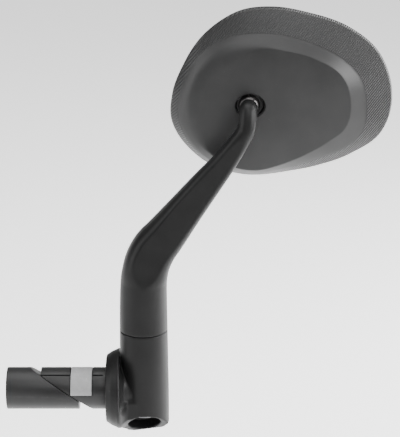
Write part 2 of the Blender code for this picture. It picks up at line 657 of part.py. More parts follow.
def build_head(finishes):
    """The head: seat, housing, spring, retainer and glass, all about the ball's centre."""
    frame = empty("head_frame", location=BALL)
    plastic = finishes["plastic"]
    back = (0, 1, 0)
    turned("rear_seat", [
        (SEAT_R, 0), *arc(SEAT_R, math.radians(15), math.pi / 2 - SEAT_SPLIT, 6),
        *arc(SEAT_R + SEAT_T, math.pi / 2 - SEAT_SPLIT, math.radians(15), 6), (SEAT_R + SEAT_T, 0),
    ], finishes["nylon"], parent=frame, axis=back)

    boss_y = SOCKET_R + BOSS_RISE
    ceiling_y = PLATEAU_Y + WALL
    lip_in = LIP_DRAFT + WALL
    sphere = [head_ring(SOCKET_R * math.sin(math.radians(a)), -SOCKET_R * math.cos(math.radians(a)))
              for a in (90, 75, 62)]
    throat = hole(-HOLE_CHAMFER)
    housing = loft("rear_housing", [
        head_ring(throat, PLATEAU_Y + HOLE_CHAMFER),
        head_ring(hole(0), PLATEAU_Y),
        head_ring(lambda d: 0.6 * radius_at(PLATEAU, d), PLATEAU_Y + 0.25),
        head_ring(inset(PLATEAU, 0), PLATEAU_EDGE_Y),
        head_ring(inset(SHOULDER, 0), SHOULDER_Y),
        head_ring(inset(OUTLINE, 0.5), RIM_Y),
        head_ring(inset(OUTLINE, 0), WIDEST_Y),
        head_ring(inset(OUTLINE, LIP_DRAFT), LIP_Y),
        head_ring(inset(OUTLINE, lip_in), LIP_Y),
        head_ring(inset(OUTLINE, lip_in), WIDEST_Y + 2),
        head_ring(inset(SHOULDER, WALL / 2), SHOULDER_Y + WALL + 0.5),
        head_ring(inset(PLATEAU, WALL), PLATEAU_EDGE_Y + WALL + 0.3),
        head_ring(BOSS_R, ceiling_y),
        head_ring(BOSS_R, boss_y),
        head_ring(SOCKET_R, boss_y),
        *sphere,
        head_ring(throat, lambda r: -math.sqrt(SOCKET_R ** 2 - r * r)),
    ], plastic, parent=frame, closed=True)

    plate_y = boss_y + GAP
    plate_top = plate_y + RETAINER_T
    retainer = turned("socket_retainer", [
        (plate_y, 0), (plate_y, BOSS_R - 0.5), (plate_top - 0.4, BOSS_R - 0.5), (plate_top, BOSS_R - 0.9),
        (plate_top, 0),
    ], plastic, sides=48, parent=frame, axis=back)
    turned("pressure_spring", [
        (SEAT_R + SEAT_T, 2.8), (plate_y - GAP - SPRING_T, SOCKET_R - GAP),
        (plate_y - GAP, SOCKET_R - GAP), (SEAT_R + SEAT_T + SPRING_T, 2.8),
    ], finishes["steel"], closed=True, parent=frame, axis=back)
    for i in range(SCREW_COUNT):
        a = math.pi / 2 + 2 * math.pi * i / SCREW_COUNT
        place = dict(parent=frame, axis=back,
                     location=(SCREW_CIRCLE_R * math.cos(a), 0, SCREW_CIRCLE_R * math.sin(a)))
        top = plate_top - GAP
        sink = top - (SCREW_HEAD_R - SCREW_R)
        screw = turned(f"retainer_screw_{i + 1}", [
            (top - SCREW_LENGTH, 0), (top - SCREW_LENGTH + 0.6, SCREW_R), (sink - 0.2, SCREW_R),
            (top - 0.2, SCREW_HEAD_R), (top, SCREW_HEAD_R), (top, 0),
        ], finishes["steel"], sides=16, **place)
        drive = box(f"drive_{i}", (-1.3, -0.25, top - 0.5), (1.3, 0.25, top + 1), finishes["steel"], **place)
        cut(screw, drive)
        pilot = turned(f"pilot_{i}", [
            (top - SCREW_LENGTH - GAP, 0), (top - SCREW_LENGTH - GAP, SCREW_R + GAP),
            (sink - 0.2, SCREW_R + GAP),
            (top - 0.2, SCREW_HEAD_R + GAP), (top + 2, SCREW_HEAD_R + GAP), (top + 2, 0),
        ], plastic, sides=16, **place)
        cut(housing, pilot)
        cut(retainer, pilot)

    rise = GLASS_RIM_R ** 2 / (2 * GLASS_RADIUS)
    carrier_y = plate_top + GAP - rise + CARRIER_LIFT
    pad_y = carrier_y + CARRIER_T + GAP
    glass_y = pad_y + PAD_T + GAP
    domed_plate("glass_carrier", lip_in + GAP, carrier_y, carrier_y + CARRIER_T, plastic, frame)
    domed_plate("adhesive_pad", lip_in + PAD_INSET, pad_y, pad_y + PAD_T, finishes["foam"], frame)
    glass_inset = lip_in + GAP + GASKET_W + GAP
    domed_plate("mirror_glass", glass_inset, glass_y, glass_y + GLASS_T, finishes["glass"], frame)
    gasket_low = carrier_y + CARRIER_T + GAP + GASKET_LIFT
    loft("glass_gasket", [
        head_ring(inset(OUTLINE, lip_in + GAP), gasket_low),
        head_ring(inset(OUTLINE, lip_in + GAP), glass_y + GLASS_T),
        head_ring(inset(OUTLINE, lip_in + GAP + GASKET_W), glass_y + GLASS_T),
        head_ring(inset(OUTLINE, lip_in + GAP + GASKET_W), gasket_low),
    ], finishes["rubber"], parent=frame, closed=True)


def main():
    """Clear the scene and build the mirror."""
    for obj in list(bpy.data.objects):
        bpy.data.objects.remove(obj)
    finishes = {
        "plastic": material("moulded_black", (0.040, 0.040, 0.041), 0.45),
        "plug": material("plug_black", (0.055, 0.054, 0.056), 0.40),
        "grey": material("grey_band", (0.300, 0.300, 0.305), 0.50),
        "rubber": material("rubber", (0.020, 0.020, 0.020), 0.80),
        "steel": material("blackened_steel", (0.200, 0.200, 0.205), 0.35, 1.0),
        "brass": material("brass", (0.620, 0.480, 0.240), 0.35, 1.0),
        "nylon": material("black_nylon", (0.030, 0.030, 0.031), 0.45),
        "foam": material("foam", (0.100, 0.100, 0.100), 0.90),
        "glass": material("silvered_glass", (0.800, 0.820, 0.830), 0.03, 1.0),
    }
    build_plug(finishes)
    build_base(finishes)
    build_arm(finishes)
    build_head(finishes)
    bpy.context.view_layer.update()


main()
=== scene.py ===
"""A bar-end bicycle mirror in its finished looks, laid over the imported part.

Sizes are in millimetres in the part's own frame: +X out of the bar, +Y to the rider and +Z up.
Every mesh is made in place, so that each finished object sits at the origin, unturned and unscaled.
"""
import logging
import math
from collections.abc import Callable, Mapping, Sequence
from dataclasses import dataclass, field
from enum import Enum

import bmesh
import bpy
from mathutils import Matrix, Vector


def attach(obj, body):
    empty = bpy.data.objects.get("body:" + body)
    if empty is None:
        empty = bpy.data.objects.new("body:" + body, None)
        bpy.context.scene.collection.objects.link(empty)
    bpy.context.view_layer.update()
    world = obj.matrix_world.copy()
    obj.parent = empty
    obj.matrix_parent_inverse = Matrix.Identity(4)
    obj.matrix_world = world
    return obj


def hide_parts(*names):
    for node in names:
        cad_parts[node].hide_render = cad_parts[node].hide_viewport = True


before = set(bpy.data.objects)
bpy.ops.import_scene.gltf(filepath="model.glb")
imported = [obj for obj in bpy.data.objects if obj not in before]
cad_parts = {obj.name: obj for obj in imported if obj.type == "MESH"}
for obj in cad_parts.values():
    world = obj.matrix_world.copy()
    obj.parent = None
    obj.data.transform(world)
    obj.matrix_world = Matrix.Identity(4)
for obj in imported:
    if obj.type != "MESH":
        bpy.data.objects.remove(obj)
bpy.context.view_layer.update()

MM = 0.001
BALL = (57.5, 17.4, 115.4)
BALL_SLANT = math.radians(4.0)
NECK_R = 3.6
NECK_END = 8.9
PLAY = 0.3
LOG = logging.getLogger("mirror")

Ring = Sequence[Vector]
Profile = Sequence[tuple[float, float]]
Outline = Sequence[tuple[float, float]]


class Slot(Enum):
    """The record's material slots."""

    ARM = "arm_plastic"
    HOUSING = "housing_plastic"
    PLUG = "plug_plastic"
    BAND = "band_grey"
    RUBBER = "rubber"
    STEEL = "steel"
    STUD = "stud_metal"
    BRASS = "brass"
    NYLON = "nylon"
    FOAM = "foam"
    MIRROR = "mirror"


class Operation(Enum):
    """What a Boolean modifier does with its cutter."""

    CUT = "DIFFERENCE"
    JOIN = "UNION"


# Shader sums -----------------------------------------------------------------------------------


class Wire:
    """A shader socket that takes part in Python sums by adding Math nodes."""

    def __init__(self, recipe: "Recipe", socket: bpy.types.NodeSocket) -> None:
        """Keep the socket and the recipe that it belongs to."""
        self.recipe = recipe
        self.socket = socket

    def _math(self, operation: str, first: object, second: object = 0.0) -> "Wire":
        """Return the outcome of one Math node."""
        node = self.recipe.node("ShaderNodeMath", {"operation": operation}, {0: first, 1: second})
        return Wire(self.recipe, node.outputs[0])

    def __add__(self, other: object) -> "Wire":
        """Return self + other."""
        return self._math("ADD", self, other)

    __radd__ = __add__

    def __sub__(self, other: object) -> "Wire":
        """Return self - other."""
        return self._math("SUBTRACT", self, other)

    def __mul__(self, other: object) -> "Wire":
        """Return self * other."""
        return self._math("MULTIPLY", self, other)

    __rmul__ = __mul__

    def sine(self) -> "Wire":
        """Return the sine of self."""
        return self._math("SINE", self)

    def ramp(self, low: float, high: float) -> "Wire":
        """Return 0 below low, 1 above high and a smooth step between them."""
        node = self.recipe.node("ShaderNodeMapRange", {"interpolation_type": "SMOOTHSTEP"},
                                {"Value": self, "From Min": low, "From Max": high})
        return Wire(self.recipe, node.outputs[0])


class Recipe:
    """One material's node tree, built round a Principled shader."""

    def __init__(self, name: str) -> None:
        """Start an empty material with a shader, an output and Object coordinates.

        Args:
            name: the material's name.
        """
        self.material = bpy.data.materials.new(name)
        self.material.use_nodes = True
        self.tree = self.material.node_tree
        self.tree.nodes.clear()
        self.shader = self.node("ShaderNodeBsdfPrincipled")
        self.node("ShaderNodeOutputMaterial", inputs={"Surface": self.shader.outputs[0]})
        self.place = self.node("ShaderNodeTexCoord").outputs["Object"]

    def node(self, kind: str, settings: Mapping[str, object] | None = None,
             inputs: Mapping[str | int, object] | None = None) -> bpy.types.Node:
        """Make any node.

        Args:
            kind: the node's type.
            settings: properties that are set first.
            inputs: values, sockets or wires for its inputs.

        Returns:
            The new node.
        """
        made = self.tree.nodes.new(kind)
        for key, value in (settings or {}).items():
            setattr(made, key, value)
        for key, value in (inputs or {}).items():
            self.feed(made.inputs[key], value)
        return made

    def feed(self, socket: bpy.types.NodeSocket, value: object) -> None:
        """Give a socket a link or a plain value."""
        source = value.socket if isinstance(value, Wire) else value
        if isinstance(source, bpy.types.NodeSocket):
            self.tree.links.new(source, socket)
        else:
            socket.default_value = source

    def uniform(self, **values: object) -> None:
        """Set the shader's own sockets, named with underscores for spaces."""
        for key, value in values.items():
            self.shader.inputs[key.replace("_", " ")].default_value = value

    def noise(self, size: float, detail: float = 3.0, roughness: float = 0.55,
              stretch: Sequence[float] = (1.0, 1.0, 1.0), shift: float = 0.0) -> Wire:
        """Return a noise value.

        Args:
            size: one blob's size in millimetres.
            detail: how many octaves it has.
            roughness: how strong the small octaves are.
            stretch: how much finer it is along each axis.
            shift: moves the pattern, so that two noises differ.

        Returns:
            The noise, about 0.5 on average.
        """
        mapping = self.node("ShaderNodeMapping", inputs={
            "Vector": self.place, "Scale": tuple(stretch), "Location": (shift, shift, shift)})
        node = self.node("ShaderNodeTexNoise", inputs={
            "Vector": mapping.outputs[0], "Scale": 1 / (size * MM), "Detail": detail, "Roughness": roughness})
        return Wire(self, node.outputs["Fac"])

    def cells(self, size: float) -> Wire:
        """Return the distance to the nearest of scattered points that are a size apart."""
        node = self.node("ShaderNodeTexVoronoi", {"feature": "F1"},
                         {"Vector": self.place, "Scale": 1 / (size * MM)})
        return Wire(self, node.outputs["Distance"])

    def along(self, direction: Sequence[float]) -> Wire:
        """Return the distance in metres along a direction in the piece's own coordinates."""
        node = self.node("ShaderNodeVectorMath", {"operation": "DOT_PRODUCT"},
                         {0: self.place, 1: tuple(direction)})
        return Wire(self, node.outputs["Value"])

    def attribute(self, name: str) -> Wire:
        """Return one of the piece's own number attributes."""
        return Wire(self, self.node("ShaderNodeAttribute", {"attribute_name": name}).outputs["Fac"])

    def edges(self, start: float, full: float) -> Wire:
        """Return a mask of the convex edges, from how pointed the surface is."""
        point = Wire(self, self.node("ShaderNodeNewGeometry").outputs["Pointiness"])
        return point.ramp(start, full)

    def blend(self, share: object, first: object, second: object) -> bpy.types.NodeSocket:
        """Return a mix of two colours."""
        node = self.node("ShaderNodeMix", {"data_type": "RGBA"}, {0: share, 6: first, 7: second})
        return node.outputs[2]

    def relief(self, height: Wire, depth: float,
               under: bpy.types.NodeSocket | None = None) -> bpy.types.NodeSocket:
        """Return a bumped normal.

        Args:
            height: the height, from 0 to 1.
            depth: the real height in millimetres of a full step.
            under: another bump to lay this one over.

        Returns:
            The normal's socket.
        """
        inputs: dict[str, object] = {"Height": height, "Distance": depth * MM, "Strength": 1.0}
        if under is not None:
            inputs["Normal"] = under
        return self.node("ShaderNodeBump", inputs=inputs).outputs[0]

    def paint(self, colour: object, roughness: object, normal: object | None = None) -> None:
        """Link what changes over the surface to the shader."""
        self.feed(self.shader.inputs["Base Color"], colour)
        self.feed(self.shader.inputs["Roughness"], roughness)
        if normal is not None:
            self.feed(self.shader.inputs["Normal"], normal)


def tinted(tone: float, tint: Sequence[float]) -> tuple[float, float, float, float]:
    """Return a colour from a grey tone and a tint."""
    return (tone * tint[0], tone * tint[1], tone * tint[2], 1.0)


# Finishes --------------------------------------------------------------------------------------


@dataclass(frozen=True)
class Ribbing:
    """Fine moulded ribs that cross a surface at a slant, where an attribute says so."""

    attribute: str = "ribbed"
    pitch: float = 0.82
    depth: float = 0.16
    slant: float = math.radians(50.0)


@dataclass(frozen=True)
class MouldedPlastic:
    """Injection-moulded plastic with a spark-eroded grain."""

    name: str
    tone: float
    roughness: float
    tint: tuple[float, float, float] = (1.0, 1.0, 1.01)
    grain: float = 0.32
    grain_depth: float = 0.022
    gloss: float = 0.5
    wear: float = 0.35
    ribs: Ribbing | None = None

    def make(self) -> bpy.types.Material:
        """Return the material: grain, slow mottling, dust specks, handling marks and rubbed edges."""
        recipe = Recipe(self.name)
        mottle = recipe.noise(16.0, 4.0)
        smears = recipe.noise(7.0, 5.0, 0.7, (1.0, 1.0, 0.35), 0.3)
        specks = recipe.noise(0.55, 1.0, 0.5, shift=0.9).ramp(0.74, 0.80)
        rubbed = recipe.edges(0.515, 0.56) * recipe.noise(1.6, 4.0, 0.7, shift=0.6).ramp(0.40, 0.62)
        dark = tinted(self.tone * 0.82, self.tint)
        light = tinted(self.tone * 1.20, self.tint)
        worn = tinted(self.tone * 2.6 + 0.01, self.tint)
        colour = recipe.blend(mottle.ramp(0.3, 0.7), dark, light)
        colour = recipe.blend(specks * 0.30, colour, worn)
        colour = recipe.blend(rubbed * self.wear, colour, worn)
        grain = recipe.noise(self.grain, 3.0, 0.6)
        rough = self.roughness + 0.10 * (smears - 0.5) + 0.06 * (grain - 0.5)
        normal = recipe.relief(grain, self.grain_depth)
        normal = recipe.relief(mottle, 0.05, normal)
        if self.ribs is not None:
            colour, rough, normal = self._add_ribs(recipe, self.ribs, colour, rough, normal)
        recipe.paint(colour, rough, normal)
        recipe.uniform(Specular_IOR_Level=self.gloss)
        return recipe.material

    def _add_ribs(self, recipe: Recipe, ribs: Ribbing, colour: bpy.types.NodeSocket, rough: Wire,
                  normal: bpy.types.NodeSocket) -> tuple[bpy.types.NodeSocket, Wire, bpy.types.NodeSocket]:
        """Return the colour, roughness and normal with the ribs laid over them; the crests get a painted
        highlight, which leaves the grooves in painted shade.
        """
        across = (-math.sin(ribs.slant), 0.0, math.cos(ribs.slant))
        wave = (recipe.along(across) * (2 * math.pi / (ribs.pitch * MM))).sine() * 0.5 + 0.5
        masked = wave * recipe.attribute(ribs.attribute)
        # crest masks the rib tops: its colour blend below is a painted highlight on the crests, with the
        # grooves left in painted shade; its roughness drop is the real finish.
        crest = recipe.attribute(ribs.attribute) * wave.ramp(0.6, 1.0)
        colour = recipe.blend(crest * 0.35, colour, tinted(self.tone * 2.4, self.tint))
        return colour, rough - 0.08 * crest, recipe.relief(masked, ribs.depth, normal)


@dataclass(frozen=True)
class MachinedMetal:
    """Turned or drawn metal with fine tool lines, or a thread, along an axis."""

    name: str
    colour: tuple[float, float, float]
    roughness: float
    axis: tuple[float, float, float] = (1.0, 0.0, 0.0)
    pitch: float = 0.22
    depth: float = 0.012
    metallic: float = 1.0
    gloss: float = 0.5

    def make(self) -> bpy.types.Material:
        """Return the material: tool lines, stains and bright rubbed edges."""
        recipe = Recipe(self.name)
        stains = recipe.noise(3.5, 5.0, 0.65)
        wobble = recipe.noise(1.2, 2.0) * 0.9
        lines = (recipe.along(self.axis) * (2 * math.pi / (self.pitch * MM)) + wobble).sine() * 0.5 + 0.5
        base = (*self.colour, 1.0)
        dull = (*(0.72 * c for c in self.colour), 1.0)
        bright = (*(min(1.0, 1.5 * c + 0.03) for c in self.colour), 1.0)
        colour = recipe.blend(stains.ramp(0.35, 0.7), base, dull)
        colour = recipe.blend(lines * 0.16, colour, bright)
        colour = recipe.blend(recipe.edges(0.52, 0.58) * 0.6, colour, bright)
        rough = self.roughness + 0.14 * (stains - 0.5) + 0.05 * lines
        recipe.paint(colour, rough, recipe.relief(lines, self.depth, recipe.relief(stains, 0.01)))
        recipe.uniform(Metallic=self.metallic, Specular_IOR_Level=self.gloss)
        return recipe.material


@dataclass(frozen=True)
class SoftRubber:
    """Matt rubber or foam, with cells where it is foamed."""

    name: str
    tone: float
    roughness: float = 0.8
    cell: float = 0.9
    cell_depth: float = 0.02

    def make(self) -> bpy.types.Material:
        """Return the material: cells or pits, bloom and a dusty mottling."""
        recipe = Recipe(self.name)
        bloom = recipe.noise(5.0, 4.0, 0.6)
        pits = recipe.cells(self.cell)
        fine = recipe.noise(0.25, 2.0)
        tint = (1.0, 1.0, 1.0)
        colour = recipe.blend(bloom.ramp(0.35, 0.75), tinted(self.tone, tint), tinted(self.tone * 1.5, tint))
        normal = recipe.relief(fine, 0.012, recipe.relief(pits, self.cell_depth))
        recipe.paint(colour, self.roughness + 0.12 * (fine - 0.5), normal)
        recipe.uniform(Specular_IOR_Level=0.35)
        return recipe.material


@dataclass(frozen=True)
class MirrorGlass:
    """Silvered glass, hardly marked."""

    name: str = "silvered_glass"

    def make(self) -> bpy.types.Material:
        """Return the material: a mirror with faint wiping marks and a few dust specks."""
        recipe = Recipe(self.name)
        wipes = recipe.noise(9.0, 5.0, 0.7, (0.35, 1.0, 1.0))
        dust = recipe.noise(0.7, 1.0, shift=0.4).ramp(0.76, 0.82)
        colour = recipe.blend(dust * 0.35, (0.80, 0.83, 0.85, 1.0), (0.62, 0.62, 0.61, 1.0))
        recipe.paint(colour, 0.015 + 0.05 * wipes.ramp(0.55, 0.85) + 0.25 * dust)
        recipe.uniform(Metallic=1.0)
        return recipe.material


# Modelling -------------------------------------------------------------------------------------


class Bench:
    """Blender's modelling operators, driven from code in the order that a modeller would use."""

    @staticmethod
    def clear() -> None:
        """Deselect every object, so that an operator acts on nothing old."""
        bpy.ops.object.select_all(action="DESELECT")

    @staticmethod
    def pick(obj: bpy.types.Object) -> None:
        """Make one object the only selected and active one."""
        Bench.clear()
        obj.hide_set(False)
        obj.select_set(True)
        bpy.context.view_layer.objects.active = obj

    @staticmethod
    def lay_rings(name: str, rings: Sequence[Ring], closed: bool = False) -> bpy.types.Object:
        """Extrude a circle ring by ring, placing each new ring as it comes.

        Args:
            name: the object's name.
            rings: points of each ring in millimetres, all of one count.
            closed: True joins the last ring to the first; otherwise both ends are capped.

        Returns:
            The solid, with its faces outwards.
        """
        Bench.clear()
        count = len(rings[0])
        bpy.ops.mesh.primitive_circle_add(vertices=count, radius=MM, fill_type="NOTHING")
        obj = bpy.context.object
        obj.name = obj.data.name = name
        bpy.ops.object.mode_set(mode="EDIT")
        mesh = bmesh.from_edit_mesh(obj.data)
        mesh.verts.ensure_lookup_table()
        for vert, point in zip(mesh.verts, rings[0]):
            vert.co = point * MM
        order = {mesh.verts[i]: i for i in range(count)}
        if not closed:
            bpy.ops.mesh.edge_face_add()
            bpy.ops.mesh.select_mode(type="EDGE")
            mesh = bmesh.from_edit_mesh(obj.data)
            mesh.verts.ensure_lookup_table()
            order = {mesh.verts[i]: i for i in range(count)}
        for ring in [*rings[1:], *([rings[0]] if closed else [])]:
            for face in mesh.faces:
                face.select = False
            for vert in mesh.verts:
                vert.select = False
            for edge in mesh.edges:
                edge.select = edge.verts[0] in order and edge.verts[1] in order
            bmesh.update_edit_mesh(obj.data)
            bpy.ops.mesh.extrude_edges_move()
            mesh = bmesh.from_edit_mesh(obj.data)
            mesh.verts.ensure_lookup_table()
            fresh: dict[bmesh.types.BMVert, int] = {}
            indexes = {vert.index: i for vert, i in order.items() if vert.is_valid}
            for vert in mesh.verts:
                if vert.select:
                    old = next(e.other_vert(vert) for e in vert.link_edges if not e.other_vert(vert).select)
                    fresh[vert] = indexes[old.index]
                    vert.co = ring[indexes[old.index]] * MM
            order = fresh
        if closed:
            bpy.ops.mesh.select_all(action="SELECT")
            bpy.ops.mesh.remove_doubles(threshold=1e-7)
        else:
            bmesh.update_edit_mesh(obj.data)
            bpy.ops.mesh.edge_face_add()
        bpy.ops.mesh.select_all(action="SELECT")
        bpy.ops.mesh.normals_make_consistent(inside=False)
        bpy.ops.object.mode_set(mode="OBJECT")
        return obj

    @staticmethod
    def turn(name: str, profile: Profile, place: Matrix, sides: int = 96,
             closed: bool = False) -> bpy.types.Object:
        """Make a turned solid.

        Args:
            name: the object's name.
            profile: (along, radius) points in millimetres; a radius of 0 stands for a flat end.
            place: takes the local +Z axis to its place, in millimetres.
            sides: how many sides the turning has.
            closed: True for a profile that is a closed loop.

        Returns:
            The solid.
        """
        angles = [2 * math.pi * i / sides for i in range(sides)]
        rings = [[place @ Vector((r * math.cos(a), r * math.sin(a), along)) for a in angles]
                 for along, r in profile if r > 0]
        return Bench.lay_rings(name, rings, closed)

    @staticmethod
    def block(name: str, low: Sequence[float], high: Sequence[float], place: Matrix) -> bpy.types.Object:
        """Make a block between two corners, mostly as a cutter."""
        Bench.clear()
        bpy.ops.mesh.primitive_cube_add(size=2.0)
        obj = bpy.context.object
        obj.name = obj.data.name = name
        mid = [(a + b) / 2 for a, b in zip(low, high)]
        half = [(b - a) / 2 for a, b in zip(low, high)]
        for vert in obj.data.vertices:
            vert.co = place @ Vector([m + h * c for m, h, c in zip(mid, half, vert.co)]) * MM
        return obj

    @staticmethod
    def modify(obj: bpy.types.Object, kind: str, **settings: object) -> None:
        """Add a modifier with its settings and apply it."""
        Bench.pick(obj)
        modifier = obj.modifiers.new(kind.lower(), kind)
        for key, value in settings.items():
            setattr(modifier, key, value)
        bpy.ops.object.modifier_apply(modifier=modifier.name)

    @staticmethod
    def combine(obj: bpy.types.Object, operation: Operation, *others: bpy.types.Object) -> None:
        """Cut or join solids, which are used up."""
        for other in others:
            Bench.modify(obj, "BOOLEAN", object=other, operation=operation.value, solver="EXACT")
            bpy.data.objects.remove(other)

    @staticmethod
    def tidy(obj: bpy.types.Object) -> None:
        """Merge what lies in one place."""
        Bench.pick(obj)
        bpy.ops.object.mode_set(mode="EDIT")
        bpy.ops.mesh.select_all(action="SELECT")
        bpy.ops.mesh.remove_doubles(threshold=2e-6)
        bpy.ops.mesh.dissolve_degenerate(threshold=1e-6)
        bpy.ops.object.mode_set(mode="OBJECT")

    @staticmethod
    def round_edges(obj: bpy.types.Object, width: float, segments: int = 3, angle: float = 35.0) -> None:
        """Bevel every edge that is sharper than an angle in degrees."""
        Bench.tidy(obj)
        Bench.modify(obj, "BEVEL", width=width * MM, segments=segments, limit_method="ANGLE",
                     angle_limit=math.radians(angle), use_clamp_overlap=True)

    @staticmethod
    def melt(obj: bpy.types.Object, voxel: float, passes: int) -> None:
        """Rebuild a solid evenly and relax it, which rounds its edges as a mould does.

        Args:
            obj: the solid.
            voxel: the size in millimetres of the new faces.
            passes: how often it is relaxed.
        """
        Bench.modify(obj, "REMESH", mode="VOXEL", voxel_size=voxel * MM, use_smooth_shade=True)
        Bench.modify(obj, "SMOOTH", factor=0.5, iterations=passes)

    @staticmethod
    def shade(obj: bpy.types.Object, angle: float = 30.0) -> None:
        """Shade smooth below an angle in degrees."""
        Bench.pick(obj)
        bpy.ops.object.shade_smooth_by_angle(angle=math.radians(angle))

    @staticmethod
    def finish(obj: bpy.types.Object, body: str, slot: Slot, material: bpy.types.Material,
               *nodes: str) -> bpy.types.Object:
        """Dress a piece, let it ride and report it.

        Args:
            obj: the piece.
            body: the CAD body that it rides on.
            slot: the record's slot for its finish; not used.
            material: its material.
            nodes: the CAD nodes that it stands for.

        Returns:
            The piece.
        """
        obj.data.materials.clear()
        obj.data.materials.append(material)
        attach(obj, body)
        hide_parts(*nodes)
        LOG.info("%s: %d faces, on %s", obj.name, len(obj.data.polygons), body)
        return obj


def facing(axis: Sequence[float], origin: Sequence[float] = (0.0, 0.0, 0.0)) -> Matrix:
    """Return the placing of a turned piece whose local +Z lies along an axis.

    Args:
        axis: where its local +Z points.
        origin: where its own zero lies, in millimetres.

    Returns:
        The matrix, in millimetres.
    """
    turn = Vector(axis).to_track_quat("Z", "Y").to_matrix().to_4x4()
    return Matrix.Translation(Vector(origin)) @ turn


def rounded(points: Sequence[Vector], radii: Sequence[float], steps: int = 5) -> list[Vector]:
    """Return a closed section with each corner rounded into the same number of points.

    Args:
        points: the corners in order.
        radii: how far from each corner its rounding starts.
        steps: the points in each rounding.

    Returns:
        The section's points, steps for each corner.
    """
    out: list[Vector] = []
    count = len(points)
    for i, corner in enumerate(points):
        before, after = points[i - 1], points[(i + 1) % count]
        start = corner + (before - corner).normalized() * min(radii[i], (before - corner).length * 0.48)
        end = corner + (after - corner).normalized() * min(radii[i], (after - corner).length * 0.48)
        for k in range(steps):
            t = k / (steps - 1)
            out.append(start * (1 - t) ** 2 + corner * 2 * t * (1 - t) + end * t ** 2)
    return out


def curve_through(points: Sequence[Sequence[float]], steps: int) -> list[list[float]]:
    """Return every number of a row of stations read from a smooth curve through them."""
    last = len(points) - 1
    out: list[list[float]] = []
    for i in range(last):
        p0, p1, p2, p3 = (points[max(0, min(last, i + k))] for k in (-1, 0, 1, 2))
        for j in range(steps):
            t = j / steps
            out.append([0.5 * (2 * b + (c - a) * t + (2 * a - 5 * b + 4 * c - d) * t * t
                               + (3 * b - a - 3 * c + d) * t ** 3)
                        for a, b, c, d in zip(p0, p1, p2, p3)])
    out.append(list(points[last]))
    return out


# Sub-assemblies --------------------------------------------------------------------------------


